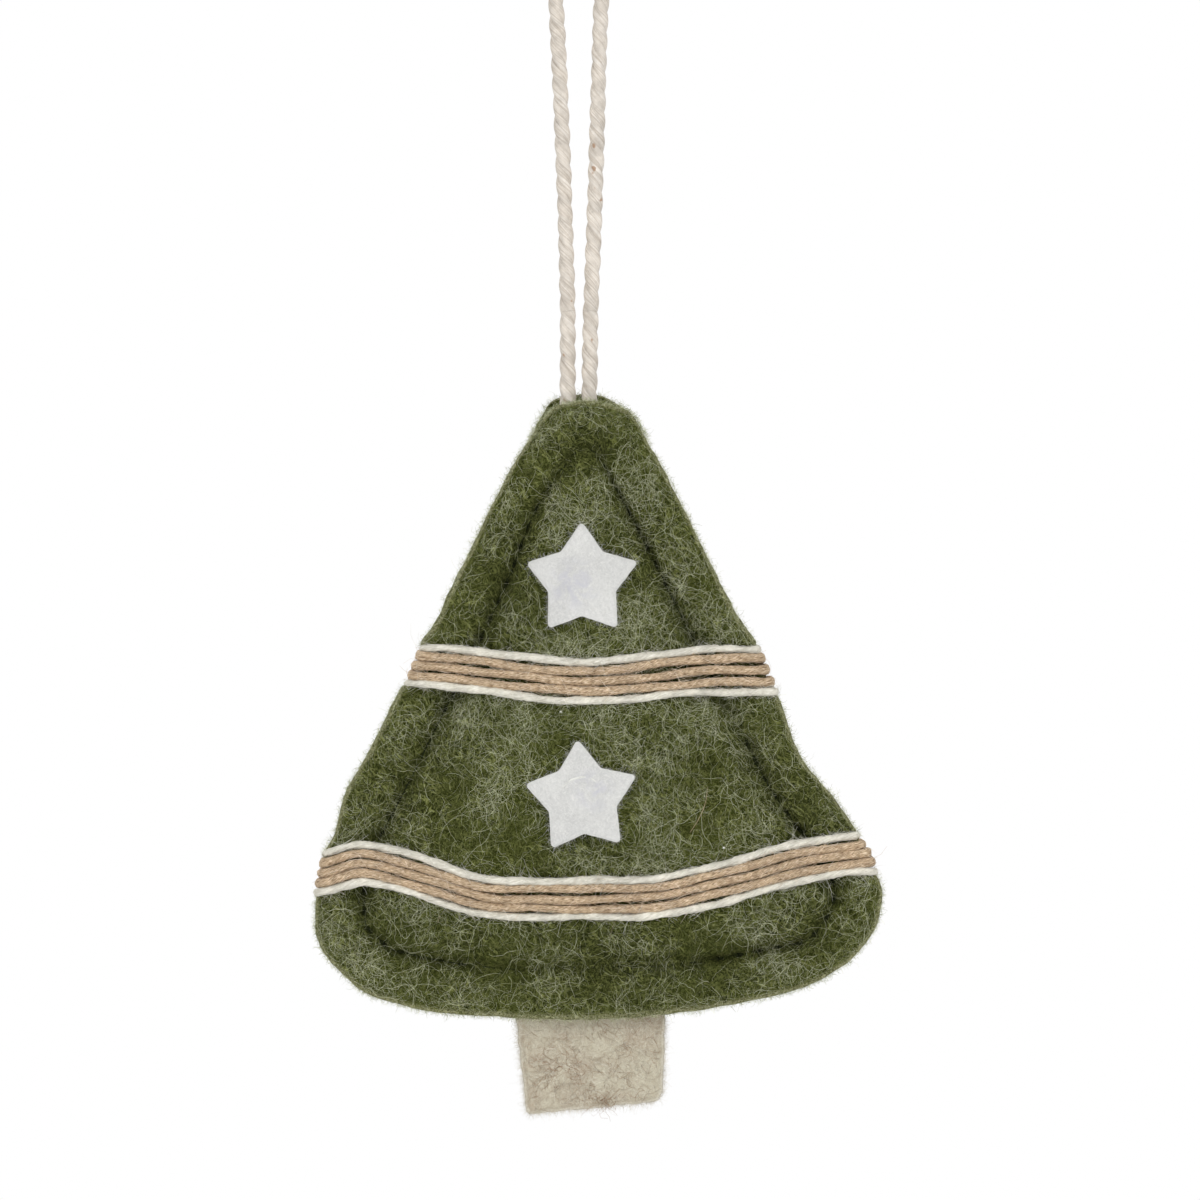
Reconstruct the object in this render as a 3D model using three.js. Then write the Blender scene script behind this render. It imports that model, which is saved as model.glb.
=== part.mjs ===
// A stuffed felt Christmas tree ornament that hangs on a loop of cotton cord.
//
// Millimetres, +Z up, front towards -Y. The origin is the inside of the top of the cord loop, where it lies on
// a hook. The tree has a frame of its own: X across from its centre line, Z up from the hem.

import * as THREE from "three";

// Felt outline: the corners before rounding, in the tree's frame. The two straight sides meet above the apex.
const SIDES_MEET = 112.4;
const APEX_RADIUS = 10.4;
const LEFT_SHOULDER = { x: -43.1, z: 26.1, radius: 14 };
const LEFT_FOOT = { x: -44.1, z: 4.3, radius: 13 };
const HEM_MIDDLE = { x: -2, z: -3, radius: 147 };
const RIGHT_FOOT = { x: 40, z: 4.9, radius: 13 };
const RIGHT_SHOULDER = { x: 50.4, z: 19.3, radius: 14 };
const RIGHT_WAIST = { x: 35.7, z: 40.7, radius: 20 };
const FRONT_APEX_DROP = 1.6; // the front felt is cut a little shorter than the back
const BODY_CENTRE_HEIGHT = 34; // middle of the stuffing, above the hem

// Felt, stuffing and seam.
const FELT_THICKNESS = 2.4;
const EDGE_ROUNDING = 0.4;
const EDGE_ROUND_WIDTH = 2;
const STUFFING_DEPTH = 7; // from the seam plane to the felt, on each side
const CROWN_POWER = 0.75;
const SEAM_INSET = 7.8;
const SEAM_PINCH = 1.1; // how far the thread draws each felt down
const SEAM_PINCH_WIDTH = 2.2;
const STITCH_LENGTH = 3.2;
const STITCH_RISE = 0.25;
const THREAD_DIAMETER = 0.6;
const CLEARANCE = 0.3;

// Trunk tab, sewn between the felts at the hem.
const TRUNK_LEFT_FOOT = { x: -9.7, z: -15.6, radius: 1 };
const TRUNK_RIGHT_FOOT = { x: 12.1, z: -13.1, radius: 2.4 };
const TRUNK_LEFT_TOP = -12.4;
const TRUNK_RIGHT_TOP = 12.7;
const TRUNK_THICKNESS = 2.4;
const TUCK_PAST_SEAM = 1.6; // trunk and cord reach this far past the stitches
const TUCK_MARGIN = 3; // the felts stay open this far beside what they hold
const TUCK_FADE = 4; // width over which the felts close again beside what they hold

// Stars and the glue under them: heights of their centres above the hem, and turns in degrees to the left.
const STAR_TIP_RADIUS = 9.4;
const STAR_NOTCH_RADIUS = 5.7;
const STAR_TIP_ROUNDING = 0.9;
const STAR_NOTCH_ROUNDING = 0.8;
const STAR_THICKNESS = 1.4;
const STAR_OFFSET = -0.8; // of both stars from the tree's centre line
const UPPER_STAR_HEIGHT = 69.6;
const UPPER_STAR_TURN = 0.5;
const LOWER_STAR_HEIGHT = 34.9;
const LOWER_STAR_TURN = 4.5;
const GLUE_RADIUS = 3.6;
const GLUE_THICKNESS = 0.4;
const GLUE_CLEARANCE = 0.2;

// Wound bands: jute turns between two single turns of white yarn. Each sags to its height in the middle of the
// front, climbs by its rise at the right edge, and slips down by its slip at the left edge.
const JUTE_DIAMETER = 1.1;
const YARN_DIAMETER = 1.05;
const STRAND_PITCH = 1.7;
const YARN_SPACING = 1.46; // from a white yarn to the jute beside it
const JUTE_TURNS = 3;
const UPPER_BAND_HEIGHT = 53.6;
const UPPER_BAND_RISE = 2.2;
const UPPER_BAND_SLIP = 0.3;
const UPPER_SLIP_FROM = -20; // the slip begins here and grows towards the left edge
const LOWER_BAND_HEIGHT = 18.4;
const LOWER_BAND_RISE = 7.6;
const LOWER_BAND_SLIP = 2.8;
const LOWER_SLIP_FROM = -33;
const SLIP_WIDTH = 11;
const STRAND_END_GAP = 3; // between the two ends of each strand, on the back

// Hanging cord.
const CORD_DIAMETER = 2.3;
const CORD_SPREAD = 3.4; // between the two legs where they enter the felt
const CORD_OFFSET = -1.4; // of the legs from the tree's centre line
const PIVOT_RISE = 4; // the cord bends this far above the back felt
const BEND_GAP = 0.5; // between the two round cord ends at that bend
const ROOT_LENGTH = 9; // from that bend to where the legs twist
const LOOP_DROP = 69; // from the hook to that bend
const BIGHT_RADIUS = 5;
const BIGHT_DROP = 8; // from the hook down to where each leg bends into the bight
const LEG_OPENING = 2; // how far each leg swings out on its way up to the bight
const LATE_OPENING = 0.4; // the part of that swing that grows with the square of the way up

// Mesh steps.
const OUTLINE_STEP = 7;
const ARC_STEPS = 4;
const FINE_STEP = 1;
const STRAND_STEP = 7;
const STRAND_SIDES = 6;
const THREAD_SIDES = 3;
const CORD_SIDES = 8;
const CORD_STEPS = 40;
const TIP_STEPS = 4;
const LEG_STEPS = 8;
const BIGHT_STEPS = 4;
const BIGHT_START = 0.06; // of a half turn, where the bight leaves the leg
const CORNER_STEP = Math.PI / 5;
const CROWN_RINGS = [0.3, 0.58, 0.8, 0.93];
const FLANGE_RINGS = [0.3, 0.7, 1];
const STAR_RINGS = [0.3, 0.55, 0.8, 1];
const GLUE_RINGS = [0.5, 1];
const GLUE_SIDES = 12;

const CORD_RADIUS = CORD_DIAMETER / 2;
const STARS = [
  { name: "upper", x: STAR_OFFSET, z: UPPER_STAR_HEIGHT, turn: UPPER_STAR_TURN },
  { name: "lower", x: STAR_OFFSET, z: LOWER_STAR_HEIGHT, turn: LOWER_STAR_TURN },
];
const BANDS = [
  {
    name: "upper",
    height: UPPER_BAND_HEIGHT,
    rise: UPPER_BAND_RISE,
    slip: UPPER_BAND_SLIP,
    slipFrom: UPPER_SLIP_FROM,
  },
  {
    name: "lower",
    height: LOWER_BAND_HEIGHT,
    rise: LOWER_BAND_RISE,
    slip: LOWER_BAND_SLIP,
    slipFrom: LOWER_SLIP_FROM,
  },
];
const BODY_CENTRE = new THREE.Vector2(0, BODY_CENTRE_HEIGHT);

function smoothStep(value) {
  const share = THREE.MathUtils.clamp(value, 0, 1);
  return share * share * (3 - 2 * share);
}

// One inside a range, falling smoothly to zero over the fade beyond it.
function within(distance, reach, fade) {
  return 1 - smoothStep((distance - reach) / fade);
}

// A closed path through the corners, each rounded by its radius, counter-clockwise seen from the front.
function roundedPath(corners) {
  const path = new THREE.Shape();
  corners.forEach((corner, index) => {
    const here = new THREE.Vector2(corner.x, corner.z);
    const before = corners.at(index - 1);
    const after = corners[(index + 1) % corners.length];
    const back = new THREE.Vector2(before.x, before.z).sub(here).normalize();
    const ahead = new THREE.Vector2(after.x, after.z).sub(here).normalize();
    const half = Math.acos(THREE.MathUtils.clamp(back.dot(ahead), -1, 1)) / 2;
    const middle = back.clone().add(ahead).normalize();
    const centre = middle.multiplyScalar(corner.radius / Math.sin(half)).add(here);
    const run = corner.radius / Math.tan(half);
    const start = back.clone().multiplyScalar(run).add(here);
    const end = ahead.clone().multiplyScalar(run).add(here);
    if (index === 0) path.moveTo(start.x, start.y);
    else path.lineTo(start.x, start.y);
    const clockwise = back.cross(ahead) > 0;
    const from = start.clone().sub(centre).angle();
    const to = end.clone().sub(centre).angle();
    path.absarc(centre.x, centre.y, corner.radius, from, to, clockwise);
  });
  path.closePath();
  return path;
}

// Points along a path: at most a step apart on each line or arc, with a least count on each arc.
function pathPoints(path, step, arcSteps) {
  return path.curves.flatMap((curve) => {
    const length = curve.getLength();
    if (length < 1e-6) return [];
    const least = curve.isEllipseCurve ? arcSteps : 1;
    const count = Math.max(least, Math.ceil(length / step));
    return Array.from({ length: count }, (_, index) => curve.getPoint(index / count));
  });
}

function feltPath(apexDrop) {
  return roundedPath([
    { x: 0, z: SIDES_MEET - apexDrop, radius: APEX_RADIUS },
    LEFT_SHOULDER,
    LEFT_FOOT,
    HEM_MIDDLE,
    RIGHT_FOOT,
    RIGHT_SHOULDER,
    RIGHT_WAIST,
  ]);
}

// The points of a closed line moved inwards, square to it, by an inset.
function insetPoints(points, inset) {
  return points.map((point, index) => {
    const along = points[(index + 1) % points.length].clone().sub(points.at(index - 1)).normalize();
    return new THREE.Vector2(point.x - along.y * inset, point.y + along.x * inset);
  });
}

// How far a closed line round the body centre reaches in a direction.
function reachOf(points) {
  const arms = points.map((point) => point.clone().sub(BODY_CENTRE));
  return (direction) => {
    for (let index = 0; index < arms.length; index += 1) {
      const arm = arms[index];
      const next = arms[(index + 1) % arms.length];
      const sideA = direction.cross(arm);
      const sideB = direction.cross(next);
      if (sideA > 0 || sideB < 0 || arm.dot(direction) < 0 || sideA === sideB) continue;
      return arm.clone().lerp(next, sideA / (sideA - sideB)).length();
    }
    return 0;
  };
}

const backEdge = pathPoints(feltPath(0), FINE_STEP, ARC_STEPS);
const frontEdge = pathPoints(feltPath(FRONT_APEX_DROP), FINE_STEP, ARC_STEPS);
const seamLine = insetPoints(frontEdge, SEAM_INSET);
const seamReach = reachOf(seamLine);
const edgeReach = { front: reachOf(frontEdge), back: reachOf(backEdge) };
const hemHeight = Math.min(...backEdge.map((point) => point.y));
const apexHeight = Math.max(...backEdge.map((point) => point.y));
const seamTop = Math.max(...seamLine.map((point) => point.y));
const trunkTop = hemHeight + SEAM_INSET + TUCK_PAST_SEAM;
const cordEnd = seamTop - TUCK_PAST_SEAM;

// Half the gap between the felts: nearly closed at the seam, open where they hold the trunk or the cord.
function halfGap(x, z) {
  const trunkMiddle = (TRUNK_LEFT_TOP + TRUNK_RIGHT_TOP) / 2;
  const trunkHalf = (TRUNK_RIGHT_TOP - TRUNK_LEFT_TOP) / 2 + TUCK_MARGIN;
  const besideTrunk = within(Math.abs(x - trunkMiddle), trunkHalf, TUCK_FADE);
  const atTrunk = besideTrunk * within(z, trunkTop + TUCK_MARGIN, TUCK_FADE);
  const cordHalf = (CORD_SPREAD + CORD_DIAMETER) / 2 + TUCK_MARGIN;
  const besideCord = within(Math.abs(x - CORD_OFFSET), cordHalf, TUCK_FADE);
  const atCord = besideCord * within(-z, TUCK_MARGIN - cordEnd, TUCK_FADE);
  const closed = CLEARANCE / 2;
  const openForTrunk = TRUNK_THICKNESS / 2 + CLEARANCE - closed;
  const openForCord = CORD_RADIUS + CLEARANCE - closed;
  return closed + Math.max(atTrunk * openForTrunk, atCord * openForCord);
}

// Distances of a felt's inner and outer face from the seam plane, over a point of the tree.
function feltFaces(side, x, z) {
  const arm = new THREE.Vector2(x, z).sub(BODY_CENTRE);
  const distance = arm.length();
  const direction = distance > 1e-6 ? arm.divideScalar(distance) : new THREE.Vector2(0, 1);
  const toSeam = seamReach(direction);
  const toEdge = edgeReach[side](direction);
  const share = Math.min(1, distance / toSeam);
  const crown = STUFFING_DEPTH * (1 - share * share) ** CROWN_POWER;
  const inner = Math.max(halfGap(x, z), CLEARANCE / 2 + crown);
  const pinch = SEAM_PINCH * Math.exp(-(((distance - toSeam) / SEAM_PINCH_WIDTH) ** 2));
  const rounding = EDGE_ROUNDING * smoothStep(1 - (toEdge - distance) / EDGE_ROUND_WIDTH);
  return { inner, outer: inner + FELT_THICKNESS - pinch - rounding, edge: toEdge - distance };
}

function outerFace(side, x, z) {
  return feltFaces(side, x, z).outer;
}

function bufferGeometry(positions, triangles) {
  const geometry = new THREE.BufferGeometry();
  geometry.setAttribute("position", new THREE.Float32BufferAttribute(positions, 3));
  geometry.setIndex(triangles);
  geometry.computeVertexNormals();
  return geometry;
}

// A closed slab over rings of points round a centre, from a front sheet to a back sheet given as heights in Y.
function slab(centre, rings, frontSheet, backSheet) {
  const count = rings[0].length;
  const points = [centre, ...rings.flat()];
  const positions = [];
  [frontSheet, backSheet].forEach((sheet) => {
    points.forEach((point) => positions.push(point.x, sheet(point.x, point.y), point.y));
  });
  const triangles = [];
  const at = (sheet, ring, ray) => sheet * points.length + 1 + ring * count + (ray % count);
  const addFacing = (sheet, a, b, c) => triangles.push(...(sheet === 0 ? [a, b, c] : [a, c, b]));
  for (let ray = 0; ray < count; ray += 1) {
    for (let sheet = 0; sheet < 2; sheet += 1) {
      addFacing(sheet, sheet * points.length, at(sheet, 0, ray), at(sheet, 0, ray + 1));
      for (let ring = 0; ring + 1 < rings.length; ring += 1) {
        const inner = at(sheet, ring, ray);
        const outer = at(sheet, ring + 1, ray);
        const outerNext = at(sheet, ring + 1, ray + 1);
        addFacing(sheet, inner, outer, outerNext);
        addFacing(sheet, inner, outerNext, at(sheet, ring, ray + 1));
      }
    }
    const rim = rings.length - 1;
    triangles.push(at(0, rim, ray), at(1, rim, ray), at(1, rim, ray + 1));
    triangles.push(at(0, rim, ray), at(1, rim, ray + 1), at(0, rim, ray + 1));
  }
  return bufferGeometry(positions, triangles);
}

// A closed tube of flat sides round a line of points, with frames carried along without twist.
function tube(points, diameter, sides) {
  const radius = diameter / 2;
  const positions = [];
  const triangles = [];
  let normal = null;
  points.forEach((point, index) => {
    const next = points[Math.min(index + 1, points.length - 1)];
    const tangent = next.clone().sub(points[Math.max(index - 1, 0)]).normalize();
    if (normal === null) {
      const spare = Math.abs(tangent.y) < 0.9 ? new THREE.Vector3(0, 1, 0) : new THREE.Vector3(0, 0, 1);
      normal = spare.cross(tangent).normalize();
    }
    normal = normal.clone().addScaledVector(tangent, -normal.dot(tangent)).normalize();
    const across = tangent.clone().cross(normal);
    for (let side = 0; side < sides; side += 1) {
      const angle = (side / sides) * 2 * Math.PI;
      const rim = point.clone().addScaledVector(normal, radius * Math.cos(angle));
      rim.addScaledVector(across, radius * Math.sin(angle));
      positions.push(rim.x, rim.y, rim.z);
    }
  });
  const at = (ring, side) => ring * sides + (side % sides);
  const last = points.length - 1;
  for (let side = 0; side < sides; side += 1) {
    for (let ring = 0; ring < last; ring += 1) {
      triangles.push(at(ring, side), at(ring, side + 1), at(ring + 1, side + 1));
      triangles.push(at(ring, side), at(ring + 1, side + 1), at(ring + 1, side));
    }
    if (side > 0 && side + 1 < sides) {
      triangles.push(at(0, 0), at(0, side + 1), at(0, side));
      triangles.push(at(last, 0), at(last, side), at(last, side + 1));
    }
  }
  return bufferGeometry(positions, triangles);
}

// The least clear distance between stretches of one tube that lie apart along it.
function leastGap(points, diameter) {
  const apartAlong = 4 * diameter;
  let least = Infinity;
  const alongAt = [0];
  points.forEach((point, index) => {
    if (index > 0) alongAt.push(alongAt[index - 1] + point.distanceTo(points[index - 1]));
  });
  for (let first = 0; first + 1 < points.length; first += 1) {
    const stretch = new THREE.Line3(points[first], points[first + 1]);
    points.forEach((point, second) => {
      const before = alongAt[first] - alongAt[second];
      const after = alongAt[second] - alongAt[first + 1];
      if (Math.max(before, after) < apartAlong) return;
      const nearest = stretch.closestPointToPoint(point, true, new THREE.Vector3());
      least = Math.min(least, nearest.distanceTo(point) - diameter);
    });
  }
  return least;
}

// Rings of the felt along rays from the body centre, through the points of the front outline.
function feltRings(side) {
  const rays = pathPoints(feltPath(FRONT_APEX_DROP), OUTLINE_STEP, ARC_STEPS).map((point) => {
    const direction = point.sub(BODY_CENTRE).normalize();
    return { direction, seam: seamReach(direction), edge: edgeReach[side](direction) };
  });
  const ringAt = (distance) => rays.map((ray) => {
    return ray.direction.clone().multiplyScalar(distance(ray)).add(BODY_CENTRE);
  });
  return {
    crown: CROWN_RINGS.map((share) => ringAt((ray) => share * ray.seam)),
    seam: ringAt((ray) => ray.seam),
    flange: FLANGE_RINGS.map((share) => ringAt((ray) => THREE.MathUtils.lerp(ray.seam, ray.edge, share))),
  };
}

function feltPanel(side) {
  const rings = feltRings(side);
  const all = [...rings.crown, rings.seam, ...rings.flange];
  const inner = (x, z) => feltFaces(side, x, z).inner;
  const outer = (x, z) => outerFace(side, x, z);
  if (side === "front") return slab(BODY_CENTRE, all, (x, z) => -outer(x, z), (x, z) => -inner(x, z));
  return slab(BODY_CENTRE, all, inner, outer);
}

// The filling, which follows the inside of both felts as far as their last ring before the seam.
function stuffing() {
  const depth = (x, z) => feltFaces("front", x, z).inner - CLEARANCE;
  return slab(BODY_CENTRE, feltRings("front").crown, (x, z) => -depth(x, z), depth);
}

// A line of stitches in the seam groove of one felt, rising between the needle holes.
function seamThread(side) {
  const sign = side === "front" ? -1 : 1;
  const seat = THREAD_DIAMETER / 2 + CLEARANCE;
  const ring = feltRings(side).seam.map((point) => {
    return new THREE.Vector3(point.x, sign * (outerFace(side, point.x, point.y) + seat), point.y);
  });
  const line = new THREE.CurvePath();
  ring.slice(1).forEach((point, index) => line.add(new THREE.LineCurve3(ring[index], point)));
  const halfStitches = 2 * Math.round(line.getLength() / STITCH_LENGTH);
  const route = Array.from({ length: halfStitches + 1 }, (_, index) => {
    const point = line.getPointAt(index / halfStitches);
    point.y += index % 2 === 0 ? 0 : sign * STITCH_RISE;
    return point;
  });
  return tube(route, THREAD_DIAMETER, THREAD_SIDES);
}

function trunk() {
  const outline = roundedPath([
    { x: TRUNK_LEFT_TOP, z: trunkTop, radius: TRUNK_LEFT_FOOT.radius },
    TRUNK_LEFT_FOOT,
    TRUNK_RIGHT_FOOT,
    { x: TRUNK_RIGHT_TOP, z: trunkTop, radius: TRUNK_LEFT_FOOT.radius },
  ]);
  const geometry = new THREE.ExtrudeGeometry(outline, {
    depth: TRUNK_THICKNESS,
    bevelEnabled: false,
    curveSegments: ARC_STEPS,
  });
  geometry.rotateX(Math.PI / 2);
  geometry.translate(0, TRUNK_THICKNESS / 2, 0);
  return geometry;
}

// A piece of even thickness that lies on the front felt, standing off it by a height.
function laidOnFront(centre, rings, standOff, thickness) {
  const back = (x, z) => -(outerFace("front", x, z) + standOff);
  return slab(centre, rings, (x, z) => back(x, z) - thickness, back);
}

function scaledRings(centre, outline, shares) {
  return shares.map((share) => outline.map((point) => centre.clone().lerp(point, share)));
}

function feltStar(star) {
  const centre = new THREE.Vector2(star.x, star.z);
  const corners = Array.from({ length: 10 }, (_, index) => {
    const isTip = index % 2 === 0;
    const angle = THREE.MathUtils.degToRad(90 + star.turn + 36 * index);
    const reach = isTip ? STAR_TIP_RADIUS : STAR_NOTCH_RADIUS;
    return {
      x: star.x + reach * Math.cos(angle),
      z: star.z + reach * Math.sin(angle),
      radius: isTip ? STAR_TIP_ROUNDING : STAR_NOTCH_ROUNDING,
    };
  });
  const outline = pathPoints(roundedPath(corners), STAR_TIP_RADIUS, 2);
  const standOff = GLUE_THICKNESS + 2 * GLUE_CLEARANCE;
  return laidOnFront(centre, scaledRings(centre, outline, STAR_RINGS), standOff, STAR_THICKNESS);
}

function glueDab(star) {
  const centre = new THREE.Vector2(star.x, star.z);
  const outline = Array.from({ length: GLUE_SIDES }, (_, index) => {
    const angle = (index / GLUE_SIDES) * 2 * Math.PI;
    return new THREE.Vector2(Math.cos(angle), Math.sin(angle)).multiplyScalar(GLUE_RADIUS).add(centre);
  });
  return laidOnFront(centre, scaledRings(centre, outline, GLUE_RINGS), GLUE_CLEARANCE, GLUE_THICKNESS);
}

// How far the wider of the two felts reaches to the left or right at a height.
function edgeAt(sign, z) {
  const crossings = backEdge.flatMap((point, index) => {
    const next = backEdge[(index + 1) % backEdge.length];
    if ((point.y - z) * (next.y - z) > 0) return [];
    const share = point.y === next.y ? 0 : (z - point.y) / (next.y - point.y);
    return [sign * THREE.MathUtils.lerp(point.x, next.x, share)];
  });
  return sign * Math.max(...crossings);
}

// Height of a strand over the front, a number of pitches below the middle of its band.
function frontHeight(band, x, pitchesDown) {
  const reach = edgeAt(1, band.height + band.rise);
  const middle = (at) => {
    const sag = band.height + band.rise * (at / reach) ** 2;
    return sag - band.slip * smoothStep((band.slipFrom - at) / SLIP_WIDTH);
  };
  const slope = middle(x + 0.5) - middle(x - 0.5);
  return middle(x) - pitchesDown * STRAND_PITCH * Math.hypot(1, slope);
}

// The point where a strand meets the left or right edge.
function edgeCrossing(band, sign, pitchesDown) {
  let x = edgeAt(sign, band.height);
  for (let round = 0; round < 6; round += 1) x = edgeAt(sign, frontHeight(band, x, pitchesDown));
  return { x, z: frontHeight(band, x, pitchesDown) };
}

// The outside of a row of heights, as a string drawn tight over them lies.
function tightOver(profile) {
  const hull = [];
  profile.forEach((point) => {
    while (hull.length > 1) {
      const a = hull.at(-2);
      const b = hull.at(-1);
      if ((b.x - a.x) * (point.y - a.y) - (b.y - a.y) * (point.x - a.x) < 0) break;
      hull.pop();
    }
    hull.push(point);
  });
  return hull;
}

// Both edges and the whole multiples of a step between them.
function stations(edges, step) {
  const between = [];
  const first = Math.ceil((edges[0] + EDGE_ROUND_WIDTH) / step);
  for (let x = first * step; x < edges[1] - EDGE_ROUND_WIDTH; x += step) between.push(x);
  return [edges[0], ...between, edges[1]];
}

// The height of a line of points, in order of X, at an X.
function heightOn(line, x) {
  const after = Math.max(1, line.findIndex((point) => point.x >= x));
  const a = line[after - 1];
  const b = line[after];
  return THREE.MathUtils.mapLinear(x, a.x, b.x, a.y, b.y);
}

// One pass of a strand over the front or back, from edge to edge, drawn tight and standing off by its radius.
function strandPass(side, left, right, heightAt, diameter) {
  const radius = diameter / 2;
  const standOff = radius + CLEARANCE;
  const edges = [left, right].map((end, index) => {
    const sign = index === 0 ? -1 : 1;
    const reaches = [end.z - radius, end.z + radius].map((z) => sign * edgeAt(sign, z));
    return sign * Math.max(...reaches);
  });
  const string = tightOver(stations(edges, FINE_STEP).map((x) => {
    const inside = THREE.MathUtils.clamp(x, left.x + EDGE_ROUND_WIDTH, right.x - EDGE_ROUND_WIDTH);
    const z = heightAt(inside);
    const faces = [z - radius, z, z + radius].map((at) => outerFace(side, inside, at));
    return new THREE.Vector2(x, Math.max(...faces));
  }));
  const drawn = stations(edges, STRAND_STEP).map((x) => new THREE.Vector2(x, heightOn(string, x)));
  const hull = [new THREE.Vector2(edges[0], 0), ...drawn, new THREE.Vector2(edges[1], 0)];
  const normals = hull.slice(1).map((point, index) => {
    const along = point.clone().sub(hull[index]).normalize();
    return Math.atan2(along.x, -along.y);
  });
  const line = hull.flatMap((point, index) => {
    const from = index === 0 ? Math.PI : normals[index - 1];
    const to = index === hull.length - 1 ? 0 : normals[index];
    const turns = Math.max(1, Math.ceil(Math.abs(from - to) / CORNER_STEP));
    const count = turns === 1 ? 1 : turns + 1;
    return Array.from({ length: count }, (_, step) => {
      const angle = count === 1 ? (from + to) / 2 : THREE.MathUtils.lerp(from, to, step / turns);
      const spread = standOff / Math.cos(Math.abs(from - to) / turns / 2);
      return point.clone().add(new THREE.Vector2(Math.cos(angle), Math.sin(angle)).multiplyScalar(spread));
    });
  });
  const sign = side === "front" ? -1 : 1;
  return line.map((point) => {
    const x = THREE.MathUtils.clamp(point.x, left.x, right.x);
    return new THREE.Vector3(point.x, sign * point.y, heightAt(x));
  });
}

// The route of a strand wound round the tree: it starts in the middle of the back, crosses the front from left
// to right once a turn, and moves down by one pitch across the back each time.
function windingRoute(band, firstPitch, turns, diameter) {
  const route = [];
  for (let turn = 0; turn <= turns; turn += 1) {
    const pitch = firstPitch + turn;
    const left = edgeCrossing(band, -1, pitch);
    const backRight = edgeCrossing(band, 1, pitch - 1);
    const across = (x) => THREE.MathUtils.mapLinear(x, left.x, backRight.x, left.z, backRight.z);
    const back = strandPass("back", left, backRight, across, diameter).reverse();
    const isStart = turn === 0;
    const isEnd = turn === turns;
    route.push(...back.filter((point) => {
      const fromMiddle = point.x - CORD_OFFSET;
      return !(isStart && fromMiddle > -STRAND_END_GAP / 2) && !(isEnd && fromMiddle < STRAND_END_GAP / 2);
    }));
    if (isEnd) break;
    const over = (x) => frontHeight(band, x, pitch);
    route.push(...strandPass("front", left, edgeCrossing(band, 1, pitch), over, diameter));
  }
  return route.filter((point, index) => index === 0 || point.distanceTo(route[index - 1]) > diameter / 2);
}

function windStrand(name, band, firstPitch, turns, diameter) {
  const route = windingRoute(band, firstPitch, turns, diameter);
  console.log(`${name}: least gap to itself ${leastGap(route, diameter).toFixed(2)} mm`);
  return tube(route, diameter, STRAND_SIDES);
}

// The free loop: up the left leg, round the bight over the hook, and down the right leg.
function hangingLoop() {
  const foot = ROOT_LENGTH + CLEARANCE - LOOP_DROP;
  const leg = Array.from({ length: LEG_STEPS + 1 }, (_, index) => {
    const share = index / LEG_STEPS;
    const opening = LEG_OPENING * THREE.MathUtils.lerp(share, share * share, LATE_OPENING);
    return [CORD_SPREAD / 2 + opening, THREE.MathUtils.lerp(foot, -BIGHT_DROP, share)];
  });
  const bight = Array.from({ length: BIGHT_STEPS + 1 }, (_, index) => {
    const angle = Math.PI * THREE.MathUtils.lerp(BIGHT_START, 0.5, index / BIGHT_STEPS);
    return [BIGHT_RADIUS * Math.cos(angle), CORD_RADIUS - BIGHT_RADIUS + BIGHT_RADIUS * Math.sin(angle)];
  });
  const right = [...leg, ...bight];
  const left = right.slice(0, -1).map(([x, z]) => [-x, z]);
  const route = [...left, ...right.reverse()].map(([x, z]) => new THREE.Vector3(x, 0, z));
  const section = new THREE.Shape(Array.from({ length: CORD_SIDES }, (_, index) => {
    const angle = ((index + 0.5) / CORD_SIDES) * 2 * Math.PI;
    return new THREE.Vector2(Math.cos(angle), Math.sin(angle)).multiplyScalar(CORD_RADIUS);
  }));
  const extrudePath = new THREE.CatmullRomCurve3(route);
  return new THREE.ExtrudeGeometry(section, { steps: CORD_STEPS, bevelEnabled: false, extrudePath });
}

// Quarter round of a cord's end, from its tip to its full width, with the tip below.
function roundedTip() {
  return Array.from({ length: TIP_STEPS + 1 }, (_, index) => {
    const angle = (index / TIP_STEPS) * (Math.PI / 2);
    return new THREE.Vector2(CORD_RADIUS * Math.sin(angle), -CORD_RADIUS * Math.cos(angle));
  });
}

function turnedUpright(profile) {
  const geometry = new THREE.LatheGeometry(profile, CORD_SIDES);
  geometry.rotateX(Math.PI / 2);
  return geometry;
}

// The short stretch of a leg above the bend: round at its lower end, about the bend, and flat on top.
function cordRoot() {
  const top = [new THREE.Vector2(CORD_RADIUS, ROOT_LENGTH), new THREE.Vector2(0, ROOT_LENGTH)];
  return turnedUpright([...roundedTip(), ...top]);
}

// The end of a leg held in the seam: flat at its foot, and round on top, a gap below the root's round end.
function cordTail() {
  const shoulder = apexHeight + PIVOT_RISE - 2 * CORD_RADIUS - BEND_GAP;
  const foot = [new THREE.Vector2(0, cordEnd), new THREE.Vector2(CORD_RADIUS, cordEnd)];
  const dome = roundedTip().map((point) => new THREE.Vector2(point.x, shoulder - point.y)).reverse();
  return turnedUpright([...foot, ...dome]);
}

function mesh(name, geometry, color, roughness = 0.95) {
  const piece = new THREE.Mesh(geometry, new THREE.MeshStandardMaterial({ color, roughness, metalness: 0 }));
  piece.name = name;
  return piece;
}

const GREEN_FELT = 0x55593a;
const OAT_FELT = 0xb3ab98;
const WHITE_FELT = 0xd5d6d3;
const GREEN_THREAD = 0x3b4526;
const JUTE = 0xc0a07a;
const WHITE_YARN = 0xdcd9cc;
const COTTON_CORD = 0xdbd2c7;
const FIBREFILL = 0xf2f1ec;
const CLEAR_GLUE = 0xcfcfc8;

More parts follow.
